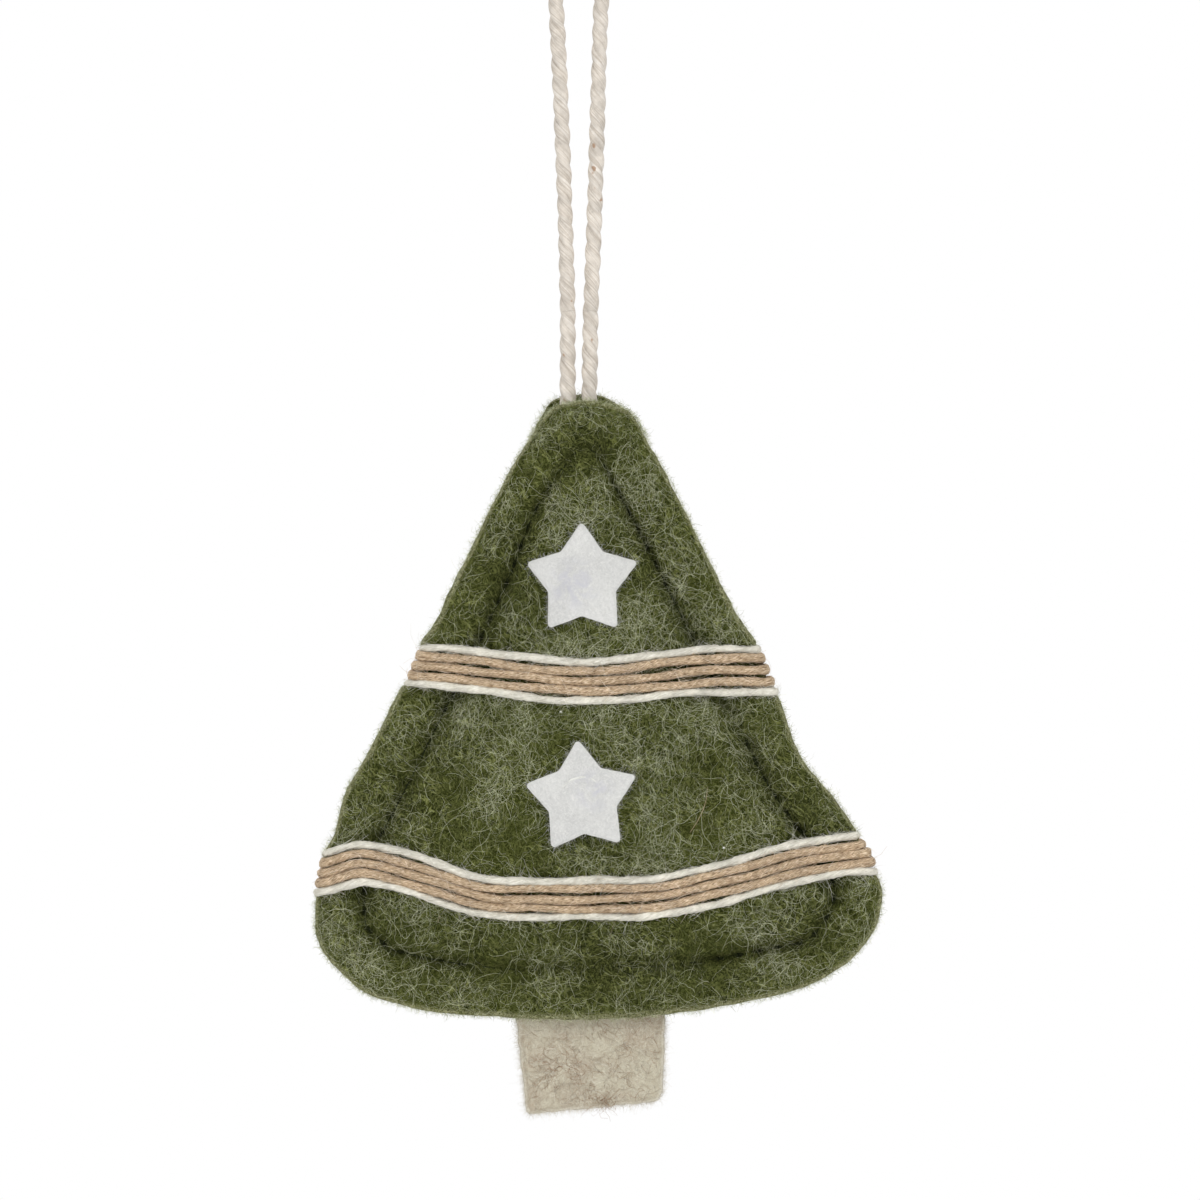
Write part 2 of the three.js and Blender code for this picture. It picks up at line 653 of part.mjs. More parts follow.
const tree = new THREE.Group();
tree.position.set(-CORD_OFFSET, 0, -(LOOP_DROP + PIVOT_RISE + apexHeight));
tree.add(
  mesh("front_felt_panel", feltPanel("front"), GREEN_FELT, 1),
  mesh("back_felt_panel", feltPanel("back"), GREEN_FELT, 1),
  mesh("fibrefill_stuffing", stuffing(), FIBREFILL, 1),
  mesh("trunk_felt", trunk(), OAT_FELT, 1),
  mesh("seam_thread_front", seamThread("front"), GREEN_THREAD, 0.8),
  mesh("seam_thread_back", seamThread("back"), GREEN_THREAD, 0.8),
);
STARS.forEach((star) => {
  tree.add(mesh(`star_${star.name}`, feltStar(star), WHITE_FELT, 1));
  tree.add(mesh(`glue_dab_${star.name}`, glueDab(star), CLEAR_GLUE, 0.5));
});
BANDS.forEach((band) => {
  const lastTurn = (JUTE_TURNS - 1) / 2;
  const outermost = lastTurn + YARN_SPACING / STRAND_PITCH;
  const jute = `${band.name}_band_jute_twine`;
  tree.add(mesh(jute, windStrand(jute, band, -lastTurn, JUTE_TURNS, JUTE_DIAMETER), JUTE));
  [["top", -outermost], ["bottom", outermost]].forEach(([place, pitch]) => {
    const yarn = `${band.name}_band_${place}_yarn`;
    tree.add(mesh(yarn, windStrand(yarn, band, pitch, 1, YARN_DIAMETER), WHITE_YARN));
  });
});

const part = new THREE.Group();
part.add(tree, mesh("hanging_cord", hangingLoop(), COTTON_CORD));
[["left", -1], ["right", 1]].forEach(([side, sign]) => {
  const tail = mesh(`cord_tail_${side}`, cordTail(), COTTON_CORD);
  tail.position.x = CORD_OFFSET + (sign * CORD_SPREAD) / 2;
  tree.add(tail);
  const root = mesh(`cord_root_${side}`, cordRoot(), COTTON_CORD);
  root.position.set((sign * CORD_SPREAD) / 2, 0, -LOOP_DROP);
  part.add(root);
});

export default part;
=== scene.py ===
"""Looks of a stuffed felt Christmas tree ornament that hangs on a loop of cotton cord.

Shapes are worked out in millimetres. The tree's own frame has X across from its centre line, Y to the back
and Z up from the hem; to_world() moves it under the cord and turns it into metres.
"""

import math

import bpy
import numpy as np
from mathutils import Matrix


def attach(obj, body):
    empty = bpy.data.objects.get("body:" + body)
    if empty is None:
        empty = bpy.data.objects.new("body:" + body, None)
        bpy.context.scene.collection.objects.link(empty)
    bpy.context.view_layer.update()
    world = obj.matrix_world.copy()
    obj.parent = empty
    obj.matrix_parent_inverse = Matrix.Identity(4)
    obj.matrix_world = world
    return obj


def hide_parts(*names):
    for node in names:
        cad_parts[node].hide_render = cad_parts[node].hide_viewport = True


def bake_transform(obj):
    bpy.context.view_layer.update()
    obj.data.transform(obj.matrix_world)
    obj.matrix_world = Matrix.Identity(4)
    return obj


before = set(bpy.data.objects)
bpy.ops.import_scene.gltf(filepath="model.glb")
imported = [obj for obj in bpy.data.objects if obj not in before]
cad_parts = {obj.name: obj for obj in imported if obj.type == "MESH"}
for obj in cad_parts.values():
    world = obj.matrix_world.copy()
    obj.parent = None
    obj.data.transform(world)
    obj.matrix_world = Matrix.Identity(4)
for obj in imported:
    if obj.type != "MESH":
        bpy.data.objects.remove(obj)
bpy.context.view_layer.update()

# Felt outline: corners as X, Z and radius. The front felt's tip is cut lower than the back felt's.
SIDES_MEET = 112.4
APEX_RADIUS = 10.4
FRONT_APEX_DROP = 1.6
LOWER_CORNERS = [
    (-43.1, 26.1, 14),
    (-44.1, 4.3, 13),
    (-2, -3, 147),
    (40, 4.9, 13),
    (50.4, 19.3, 14),
    (35.7, 40.7, 20),
]
BODY_CENTRE = np.array([0.0, 34.0])

# Where the scissors left the edge a little out of true: X, Z, how far out, and over how wide a stretch. The
# second list is for the front felt alone.
TRIMS = [
    (-5.8, 98.4, 0.7, 2.2),
    (-9.0, 93.0, -0.6, 4.0),
    (5.4, 98.0, -0.3, 2.5),
    (9.4, 93.0, -0.4, 4.0),
    (-42.5, 30.0, -0.8, 4.0),
    (-40.5, 5.2, -0.9, 5.0),
    (-33.0, 2.0, -0.2, 7.0),
    (39.0, 5.6, -1.0, 6.0),
    (29.0, 56.5, 0.8, 5.0),
    (46.0, 25.0, -0.5, 4.0),
    (34.0, 42.0, -1.0, 6.0),
    (-26.6, 60.2, 0.45, 2.2),
    (-25.2, 64.0, -0.4, 3.0),
    (-25.0, 0.6, 0.5, 7.0),
    (27.2, 60.4, 0.5, 3.0),
    (-38.2, 36.5, 0.45, 4.0),
    (-40.8, 28.5, -0.3, 3.0),
]
FRONT_TRIMS = [
    (-9.0, 93.0, 0.4, 6.0),
    (-15.5, 81.0, 0.4, 8.0),
    (9.5, 93.0, 0.45, 6.0),
    (15.5, 81.0, 0.4, 8.0),
    (6.8, 96.4, 0.7, 2.6),
]

# The cut edge of each felt.
EDGE_FUZZ = 0.4  # how far it lies inside the outline
EDGE_PRESS = 0.95  # how far a band draws it in
EDGE_DIP = 0.5  # how far a band presses it down
EDGE_DIP_WIDTH = 3
EDGE_RAGGED = 0.1
RIM_RAGGED = 0.05
RIM_BULGE = 0.34
EDGE_STEP = {"front": 0.46, "back": 0.74}  # between its points
TIP_WEAR_HEIGHT = 92.0  # above this height it is worn most

# Felt and stuffing.
FELT_THICKNESS = 2.4
EDGE_ROUNDING = 0.4
EDGE_ROUND_WIDTH = 2
STUFFING_DEPTH = 7  # from the seam plane to the felt, on each side
CROWN_POWER = 0.75
CLEARANCE = 0.3
TOUCHING = 0.14  # how far each felt moves in, so that both all but touch
LUMP_HEIGHT = 0.32
DENT_HEIGHT = 0.12
NAP_HEIGHT = 0.05

# Seam.
SEAM_INSET = 7.8
SEAM_PINCH = 1.1  # how far the thread draws each felt down
SEAM_PINCH_WIDTH = 2.2
SEAM_SWAY = 0.35
SEAM_PIT = (26.2, 42.3, 0.8, 2.2)  # X, Z, depth and radius
SEAM_COVER = (23.6, 47.6, 3.8)  # X, Z and radius of the stretch that loose fibres close
SEAM_SHIFTS = [(-15.0, 84.0, -1.5, 9.0), (-40.0, 6.0, 1.4, 9.0)]  # X, Z, how far in, and how wide a stretch
STITCH_LENGTH = 3.2
THREAD_DIAMETER = 0.6
GROOVE_DEPTH = 0.55
GROOVE_WIDTH = 1.15
HOLE_DEPTH = 0.95
HOLE_RADIUS = 0.72
GATHER_HEIGHT = 0.16
GATHER_REACH = 2.6
GATHER_GAP = 0.9
COVERED_SHARE = 0.8  # of the seam's relief, gone where fibres close it
BARE_SHARE = 0.85  # of the felt's fibres, missing on the seam
BARE_WIDTH = 1.2

# Trunk tab: its feet as X, Z and radius. Its felt has brown tufts: centre X, centre Z and radius.
TRUNK_LEFT_FOOT = (-9.7, -15.8, 1)
TRUNK_RIGHT_FOOT = (12.1, -13.7, 2.4)
TRUNK_LEFT_TOP = -12.4
TRUNK_RIGHT_TOP = 12.7
TRUNK_THICKNESS = 2.4
TRUNK_WARP = 0.3
TRUNK_NAP = 0.06
TUCK_PAST_SEAM = 1.6  # trunk and cord reach this far past the stitches
TUCK_MARGIN = 3  # the felts stay open this far beside what they hold
TUCK_FADE = 4  # width over which the felts close again
TUFTS = [
    (-3.4, -7.5, 1.1),
    (-6.7, -7.6, 1.0),
    (2.1, -1.9, 1.0),
    (-5.9, -10.7, 0.9),
    (-0.8, -12.0, 0.9),
    (2.4, -13.4, 0.6),
    (3.0, -14.0, 0.3),
    (5.3, -9.9, 0.9),
    (-1.6, -8.2, 0.8),
    (6.5, -5.0, 0.7),
]

# Stars: centre X, centre Z and turn to the left in degrees. Glue blotches: centre X, centre Z and radius.
STARS = {"upper": (-0.8, 69.6, 0.5), "lower": (-0.8, 34.9, 4.5)}
BLOTCHES = {"upper": (-2.2, 69.0, 5.6), "lower": (0.8, 36.0, 4.6)}
STAR_TIP = 9.5
STAR_NOTCH = 5.7
STAR_TIP_ROUND = 0.6
STAR_NOTCH_ROUND = 0.8
STAR_THICKNESS = 1.2
STAR_STAND_OFF = 0.8
STAR_SETTLING = 0.75  # how far its arms come down to the felt
STAR_NAP = 0.035

# A stray hair and two specks of glitter on the front felt, each a line of points of X and Z. The specks are
# plain white dots: their brightness is a painted glint.
STRAY_HAIR = [[(19.2, 36.6), (19.0, 34.7), (18.5, 33.0), (17.6, 31.2), (16.4, 29.4)]]
GLINT_SPECKS = [
    [(-4.35, 48.6), (-4.2, 48.65), (-4.05, 48.6)],
    [(21.65, 26.9), (21.8, 26.95), (21.95, 26.9)],
]

# Patches of the front felt with more or fewer pale fibres: X, Z, radius and strength. The patch at X 28,
# Z 37 is painted shade: it takes pale fibres off the flange right of the seam, where shade falls.
FROST_AND_SHADE_PATCHES = [
    (0.5, 85, 6, 0.45),
    (9, 78, 5, 0.6),
    (17, 80, 4, 0.5),
    (8, 62, 6, 0.8),
    (24, 64, 3, 0.5),
    (-9, 48.5, 4.5, 1.0),
    (-17, 50, 4, 0.4),
    (9, 51, 4, 0.5),
    (24, 51, 4, 0.6),
    (16, 36, 5, 0.4),
    (-17, 30, 4, 0.4),
    (40, 22, 5, 0.5),
    (-35, 10, 4, 0.6),
    (2, 94, 9, -0.8),
    (-8, 78, 4, -0.4),
    (16, 70, 5, -0.8),
    (-16, 63, 5, -0.7),
    (-30, 34, 8, -0.6),
    (0, 51, 4, -0.7),
    # painted shade on the flange right of the seam
    (28, 37, 7, -0.6),
    (8, 29, 4, -0.5),
    (-8, 35, 4, -0.7),
    (-8, 25, 5, -0.5),
    (41, 16, 4, -0.9),
    (40, 30, 4, -0.6),
    (-17, 22, 5, -0.8),
    (16, 22, 4, -0.5),
    (24, 15, 6, -0.7),
    (-24, 15, 4, -0.4),
    (8, 8, 6, -1.0),
    (-8, 8, 6, -0.6),
]

# Wound bands: height in the middle; how far each side rises, from which X and to which X; how far the left
# end slips down again, from which X and to which X; how close together the strands lie in the middle, with
# the change per millimetre of X; how far each end stands out past its usual place on the edge; and how much
# further for each millimetre down.
BANDS = {
    "upper": {
        "height": 53.6,
        "right": (1.7, 0, 22),
        "left": (2.4, -1, -30),
        "slip": (0, -28, -34),
        "spread": (1.0, 0.003),
        "ends": (0.15, 1.05),
        "fan": (-0.06, -0.1),
    },
    "lower": {
        "height": 18.85,
        "right": (7.1, 5, 46),
        "left": (5.7, -12, -38),
        "slip": (1.9, -35, -44),
        "spread": (0.91, 0.0),
        "ends": (0.15, 0),
        "fan": (0.16, 0),
    },
}
BAND_TROUGH = 0.45
TROUGH_WIDTH = 4.2
JUTE_ROUTE_DIAMETER = 1.42  # sets how far the jute's middle line stands off the felt
JUTE_DIAMETER = 0.92 * JUTE_ROUTE_DIAMETER
YARN_DIAMETER = 1.15
STRAND_PITCH = 1.7
YARN_SPACING = 1.46  # from a white yarn to the jute beside it
JUTE_TURNS = 3
STRAND_END_GAP = 3  # between the two ends of each strand, on the back
PASS_STEP = 0.2
ROUTE_STEP = 0.15
STRAND_STEP = 0.34  # between the rings of a strand

# Hanging cord, in the world's millimetres.
CORD_DIAMETER = 2.3
CORD_SPREAD = 3.4  # between the two legs where they enter the felt
CORD_OFFSET = -1.4  # of the legs from the tree's centre line
CORD_LAY = 9.6  # length of a turn of its twist
CORD_STEP = 0.2  # between its rings
RIGHT_LEG_BOW = 0.45
PIVOT_RISE = 4  # the cord bends this far above the back felt
ROOT_LENGTH = 9  # from that bend to where the legs twist
LOOP_DROP = 69  # from the hook to that bend
BIGHT_RADIUS = 5
BIGHT_DROP = 8  # from the hook down to where each leg bends into the bight
BIGHT_START = 0.06  # of a half turn, where the bight leaves the leg
LEG_OPENING = 2  # how far each leg swings out on its way up to the bight
LATE_OPENING = 0.4  # the part of that swing that grows with the square of the way up

MM = 0.001


def smooth(value):
    """Smooth step: 0 below 0, 1 above 1, and 3v2 - 2v3 between."""
    share = np.clip(value, 0, 1)
    return share * share * (3 - 2 * share)


def within(distance, reach, fade):
    """One inside a range, falling smoothly to zero over the fade beyond it."""
    return 1 - smooth((distance - reach) / fade)


def unit(vectors):
    """Vectors of length one."""
    return vectors / np.maximum(np.linalg.norm(vectors, axis=-1, keepdims=True), 1e-12)


def soft_patch(x, z, at_x, at_z, radius):
    """A soft round patch: a bell curve of the distance from a place, one in its middle."""
    return np.exp(-(((x - at_x) ** 2 + (z - at_z) ** 2) / radius**2))


def edge_directions(line):
    """Directions along a closed line and outwards from it, at each of its points."""
    along = unit(np.roll(line, -1, 0) - np.roll(line, 1, 0))
    return along, np.stack([along[:, 1], -along[:, 0]], -1)


def at_depth(flat, depth):
    """Points in space from points of X and Z and how far back each lies."""
    return np.stack([flat[..., 0], depth, flat[..., 1]], -1)


def wave_field(seed, wavelength, waves=26):
    """A smooth random field over X and Z: the sum of plane waves of about one wavelength, each in a random
    direction."""
    rng = np.random.default_rng(seed)
    angle = rng.uniform(0, 2 * np.pi, waves)
    size = 2 * np.pi / (wavelength * rng.uniform(0.7, 1.7, waves))
    phase = rng.uniform(0, 2 * np.pi, waves)

    def field(x, z):
        total = np.zeros(np.broadcast(x, z).shape)
        for heading, count, start in zip(angle, size, phase):
            total += np.sin(count * (np.cos(heading) * x + np.sin(heading) * z) + start)
        return total / np.sqrt(waves * 2)

    return field


def rounded_outline(corners, arc_points=48):
    """Closed line through corners of X, Z and radius: each becomes an arc that touches both of its sides."""
    corner = np.array(corners, float)
    here, radius = corner[:, :2], corner[:, 2:]
    back = unit(np.roll(here, 1, 0) - here)
    ahead = unit(np.roll(here, -1, 0) - here)
    half = np.arccos(np.clip((back * ahead).sum(1, keepdims=True), -1, 1)) / 2
    centre = here + unit(back + ahead) * radius / np.sin(half)
    start = here + back * radius / np.tan(half) - centre
    end = here + ahead * radius / np.tan(half) - centre
    turn = np.arctan2(start[:, 0] * end[:, 1] - start[:, 1] * end[:, 0], (start * end).sum(1))
    angle = np.arctan2(start[:, 1:], start[:, :1]) + turn[:, None] * np.linspace(0, 1, arc_points)
    arcs = centre[:, None] + radius[:, None] * np.stack([np.cos(angle), np.sin(angle)], -1)
    return arcs.reshape(-1, 2)


def distance_along(line):
    """Distance of each point of a line from its start."""
    return np.concatenate([[0], np.cumsum(np.linalg.norm(np.diff(line, axis=0), axis=1))])


def evenly(line, step, closed):
    """The line again, with points evenly spaced about a step apart."""
    whole = np.vstack([line, line[:1]]) if closed else line
    along = distance_along(whole)
    count = max(2, int(round(along[-1] / step)))
    at = np.linspace(0, along[-1], count, endpoint=not closed)
    return np.stack([np.interp(at, along, whole[:, k]) for k in range(whole.shape[1])], -1)


def eased_line(line, span):
    """A line made smooth by a running mean over a span of points, with its ends repeated."""
    padded = np.vstack([np.repeat(line[:1], span // 2, 0), line, np.repeat(line[-1:], span // 2, 0)])
    share = np.ones(span) / span
    return np.stack([np.convolve(column, share, "valid") for column in padded.T], -1)


def reach_of(line, centre=BODY_CENTRE):
    """How far a closed line reaches from a centre, as a function of the angle there."""
    arm = line - centre
    angle = np.arctan2(arm[:, 1], arm[:, 0])
    distance = np.hypot(arm[:, 0], arm[:, 1])
    return lambda at: np.interp(at, angle, distance, period=2 * np.pi)


def inside_outline(points, outline, centre, margin=0.0):
    """Whether points lie inside a closed line by more than a margin, along the ray from its centre."""
    arm = points - centre
    reach = reach_of(outline, centre)(np.arctan2(arm[..., 1], arm[..., 0]))
    return np.linalg.norm(arm, axis=-1) < reach - margin


def felt_outline(drop):
    """Edge of a felt panel, its tip lowered by a drop, as points a quarter of a millimetre apart."""
    return evenly(rounded_outline([(0, SIDES_MEET - drop, APEX_RADIUS)] + LOWER_CORNERS), 0.25, True)


EDGE = {"front": felt_outline(FRONT_APEX_DROP), "back": felt_outline(0)}
front_outward = edge_directions(EDGE["front"])[1]
seam_inset = np.full(len(front_outward), float(SEAM_INSET))
for shift_x, shift_z, moved, width in SEAM_SHIFTS:
    from_shift = np.hypot(*(EDGE["front"] - [shift_x, shift_z]).T)
    seam_inset += moved * np.exp(-((from_shift / width) ** 2))
SEAM = EDGE["front"] - seam_inset[:, None] * front_outward
seam_reach = reach_of(SEAM)
edge_reach = {side: reach_of(line) for side, line in EDGE.items()}
HEM = EDGE["back"][:, 1].min()
APEX = EDGE["back"][:, 1].max()
TRUNK_TOP = HEM + SEAM_INSET + TUCK_PAST_SEAM
CORD_END = SEAM[:, 1].max() - TUCK_PAST_SEAM
TREE_PLACE = np.array([-CORD_OFFSET, 0, -(LOOP_DROP + PIVOT_RISE + APEX)])
FRONT = {"front": -1, "back": 1}

seam_closed = np.vstack([SEAM, SEAM[:1]])
seam_angle = np.unwrap(np.arctan2(seam_closed[:, 1] - BODY_CENTRE[1], seam_closed[:, 0]))
seam_length = distance_along(seam_closed)
STITCHES = int(round(seam_length[-1] / STITCH_LENGTH))
STITCH_PITCH = seam_length[-1] / STITCHES


def to_world(points):
    """Points of the tree's frame in millimetres, as the world's metres."""
    return (points + TREE_PLACE) * MM


def half_gap(x, z):
    """Half the gap between the felts: nearly closed, and open round the trunk and the cord that they hold."""
    trunk_half = (TRUNK_RIGHT_TOP - TRUNK_LEFT_TOP) / 2 + TUCK_MARGIN
    beside_trunk = within(np.abs(x - (TRUNK_LEFT_TOP + TRUNK_RIGHT_TOP) / 2), trunk_half, TUCK_FADE)
    at_trunk = beside_trunk * within(z, TRUNK_TOP + TUCK_MARGIN, TUCK_FADE)
    cord_half = (CORD_SPREAD + CORD_DIAMETER) / 2 + TUCK_MARGIN
    beside_cord = within(np.abs(x - CORD_OFFSET), cord_half, TUCK_FADE)
    at_cord = beside_cord * within(-z, TUCK_MARGIN - CORD_END, TUCK_FADE)
    closed = CLEARANCE / 2
    for_trunk = TRUNK_THICKNESS / 2 + CLEARANCE - closed
    for_cord = CORD_DIAMETER / 2 + CLEARANCE - closed
    return closed + np.maximum(at_trunk * for_trunk, at_cord * for_cord)


def body_polar(x, z):
    """Distance and angle of points about the body centre."""
    across, up = x - BODY_CENTRE[0], z - BODY_CENTRE[1]
    return np.hypot(across, up), np.arctan2(up, across)


def from_polar(reach, angle):
    """X and Z of points at a distance and angle about the body centre, which lies on the centre line."""
    return reach * np.cos(angle), BODY_CENTRE[1] + reach * np.sin(angle)


def plain_faces(side, x, z):
    """Distances of a felt's inner and outer face from the seam plane: the crown falls to the seam as a
    power of one less the square of the share of the way there, and the seam draws the felt in as a bell
    curve."""
    distance, angle = body_polar(x, z)
    to_seam = seam_reach(angle)
    share = np.minimum(1, distance / to_seam)
    crown = STUFFING_DEPTH * (1 - share * share) ** CROWN_POWER
    inner = np.maximum(half_gap(x, z), CLEARANCE / 2 + crown)
    pinch = SEAM_PINCH * np.exp(-(((distance - to_seam) / SEAM_PINCH_WIDTH) ** 2))
    rounding = EDGE_ROUNDING * smooth(1 - (edge_reach[side](angle) - distance) / EDGE_ROUND_WIDTH)
    return inner, inner + FELT_THICKNESS - pinch - rounding


def edge_at(sign, z):
    """How far the back felt, the larger one, reaches to the left or right at heights."""
    line = EDGE["back"]
    low, high = line[:, 1].argmin(), line[:, 1].argmax()
    turned = np.roll(line, -high, 0)
    foot = (low - high) % len(line)
    half = turned[: foot + 1][::-1] if sign < 0 else turned[foot:]
    return np.interp(z, np.maximum.accumulate(half[:, 1]), half[:, 0])


def band_height(band, x, pitches_down=0.0):
    """Height of a strand over the front: level in the middle, a smooth step up on each side, and a smaller
    step down where the left end has slipped."""
    shape = BANDS[band]

    def step(part, at):
        height, begin, end = shape[part]
        return height * smooth((at - begin) / (end - begin))

    def middle(at):
        return shape["height"] + step("right", at) + step("left", at) - step("slip", at)

    slope = middle(x + 0.5) - middle(x - 0.5)
    close, fan = shape["spread"]
    return middle(x) - pitches_down * STRAND_PITCH * np.hypot(1, slope) * (close + fan * x)


def band_press(x, z):
    """How hard the wound bands bear on the felts at places near the edge: one under a band, none a little off
    it."""
    press = []
    for band, shape in BANDS.items():
        close, fan = shape["spread"]
        half = (STRAND_PITCH + YARN_SPACING) * (close + fan * x) + 0.1
        press.append(np.exp(-(((z - band_height(band, x)) / half) ** 8)))
    return np.max(press, axis=0)


def cut_edge(side):
    """Edge of a felt as it was cut and as the bands draw it in: the outline moved in or out by the trims, by
    the bands and by a fine raggedness."""
    line = EDGE[side]
    ragged = wave_field(41 + (side == "back"), 3.2)
    out = EDGE_RAGGED * ragged(line[:, 0], line[:, 1]) - EDGE_FUZZ
    out = out - EDGE_PRESS * band_press(line[:, 0], line[:, 1])
    for trim_x, trim_z, moved, width in TRIMS + (FRONT_TRIMS if side == "front" else []):
        away = np.hypot(line[:, 0] - trim_x, line[:, 1] - trim_z)
        out = out + moved * np.exp(-((away / width) ** 2))
    return line + edge_directions(line)[1] * out[:, None]


CUT = {side: cut_edge(side) for side in EDGE}
cut_reach = {side: reach_of(line) for side, line in CUT.items()}
LUMPS = {"front": wave_field(3, 17), "back": wave_field(4, 17)}
DENTS = {"front": wave_field(5, 6.5), "back": wave_field(6, 6.5)}
NAP = {"front": wave_field(7, 2.1), "back": wave_field(8, 2.1)}
SEAM_SLACK = wave_field(9, 30)


def inflate_crown():
    """Cloth run of the stuffed pillow: two crowns joined and pinned at the seam, at nine tenths of their
    height, swollen by pressure that varies a little from place to place. It is run at ten times the real
    size. Gives how far each side then stands from the plain crown, over a grid of angles and shares of the
    way to the seam."""
    rays = 120
    rings = 15
    grow = 10.0
    slack = 0.9
    angle = np.arange(rays) / rays * 2 * np.pi - np.pi
    share = np.linspace(0, 1, rings + 1)[1:]
    x, z = from_polar(share[:, None] * seam_reach(angle), angle)
    crown = slack * STUFFING_DEPTH * (1 - share[:, None] ** 2) ** CROWN_POWER * np.ones(rays)
    top = slack * STUFFING_DEPTH
    front = np.stack([x, -crown, z], -1).reshape(-1, 3)
    back = np.stack([x, crown, z], -1)[:-1].reshape(-1, 3)
    points = np.vstack([[0, -top, BODY_CENTRE[1]], front, [0, top, BODY_CENTRE[1]], back])
    ray = np.arange(rays)
    after = (ray + 1) % rays
    back_start = len(front) + 2

    def at(side, ring, column):
        is_back = (side == 1) & (ring < rings - 1)
        return np.where(is_back, back_start + ring * rays + column, 1 + ring * rays + column)

    ring = np.repeat(np.arange(rings - 1), rays)
    here = np.tile(ray, rings - 1)
    beside = np.tile(after, rings - 1)
    faces = []
    for side, pole in ((0, 0), (1, back_start - 1)):
        inner = at(side, ring, here), at(side, ring, beside)
        outer = at(side, ring + 1, here), at(side, ring + 1, beside)
        quad = np.stack([inner[0], outer[0], outer[1], inner[1]], -1)
        tip = np.stack([np.full(rays, pole), at(side, 0 * ray, ray), at(side, 0 * ray, after)], -1)
        faces += [part if side == 0 else part[:, ::-1] for part in (quad, tip)]
    mesh = bpy.data.meshes.new("stuffed_crown")
    mesh.from_pydata((points * MM * grow).tolist(), [], [face for part in faces for face in part.tolist()])
    pillow = bpy.data.objects.new("stuffed_crown", mesh)
    bpy.context.scene.collection.objects.link(pillow)
    pinned = pillow.vertex_groups.new(name="seam")
    pinned.add((1 + (rings - 1) * rays + ray).tolist(), 1.0, "REPLACE")
    swell = pillow.vertex_groups.new(name="swell")
    uneven = wave_field(11, 24)(points[:, 0], points[:, 2] + 200 * (points[:, 1] > 0))
    weight = np.clip(0.7 + 0.3 * uneven, 0, 1)
    for level in range(11):
        members = np.flatnonzero(np.round(weight * 10) == level).tolist()
        if members:
            swell.add(members, level / 10, "REPLACE")
    cloth = pillow.modifiers.new("Cloth", "CLOTH")
    settings = cloth.settings
    settings.quality = 6
    settings.mass = 0.4
    settings.tension_stiffness = 30
    settings.compression_stiffness = 30
    settings.shear_stiffness = 12
    settings.bending_stiffness = 4
    settings.use_pressure = True
    settings.uniform_pressure_force = 4
    settings.vertex_group_mass = "seam"
    settings.vertex_group_pressure = "swell"
    settings.effector_weights.gravity = 0
    cloth.collision_settings.use_collision = False
    scene = bpy.context.scene
    for step in range(1, 21):
        scene.frame_set(step)
    shaped = pillow.evaluated_get(bpy.context.evaluated_depsgraph_get()).data
    swollen = np.empty(len(points) * 3, np.float32)
    shaped.vertices.foreach_get("co", swollen)
    swollen = np.abs(swollen.reshape(-1, 3)[:, 1]) / (MM * grow)
    bpy.data.objects.remove(pillow)
    bpy.data.meshes.remove(mesh)
    scene.frame_set(1)
    plain = np.vstack([np.full((1, rays), STUFFING_DEPTH), crown / slack])
    lift = {}
    for side, start in (("front", 0), ("back", back_start - 1)):
        grid = np.zeros((rings + 1, rays))
        grid[0] = swollen[start]
        count = rings if side == "front" else rings - 1
        grid[1 : count + 1] = swollen[start + 1 : start + 1 + count * rays].reshape(count, rays)
        lift[side] = np.clip(grid - plain, -1.0, 1.0)
        lift[side][-1] = 0
    return lift


def lift_reader(grid):
    """Bilinear reading of a grid of lifts by angle and by share of the way to the seam."""
    rings, rays = grid.shape[0] - 1, grid.shape[1]

    def read(angle, share):
        column = (angle + np.pi) / (2 * np.pi) * rays
        row = np.clip(share, 0, 1) * rings
        left = np.floor(column).astype(int)
        low = np.minimum(np.floor(row).astype(int), rings - 1)
        across, up = column - left, row - low
        left, right = left % rays, (left + 1) % rays
        lower = grid[low, left] * (1 - across) + grid[low, right] * across
        upper = grid[low + 1, left] * (1 - across) + grid[low + 1, right] * across
        return lower * (1 - up) + upper * up

    return read


CROWN_LIFT = {side: lift_reader(grid) for side, grid in inflate_crown().items()}


def body_face(side, x, z):
    """Distance of a felt's outer face from the seam plane: the plain face, the cloth run's swell and soft
    lumps of stuffing."""
    distance, angle = body_polar(x, z)
    share = distance / seam_reach(angle)
    lumps = LUMP_HEIGHT * LUMPS[side](x, z) * within(share, 0.8, 0.2)
    return plain_faces(side, x, z)[1] + CROWN_LIFT[side](angle, share) + lumps


def seam_cover(side, x, z):
    """How far loose fibres close the seam, from 0 to 1: a soft round patch on the front, below the upper
    band."""
    patch = soft_patch(x, z, *SEAM_COVER)
    return patch if side == "front" else 0 * patch


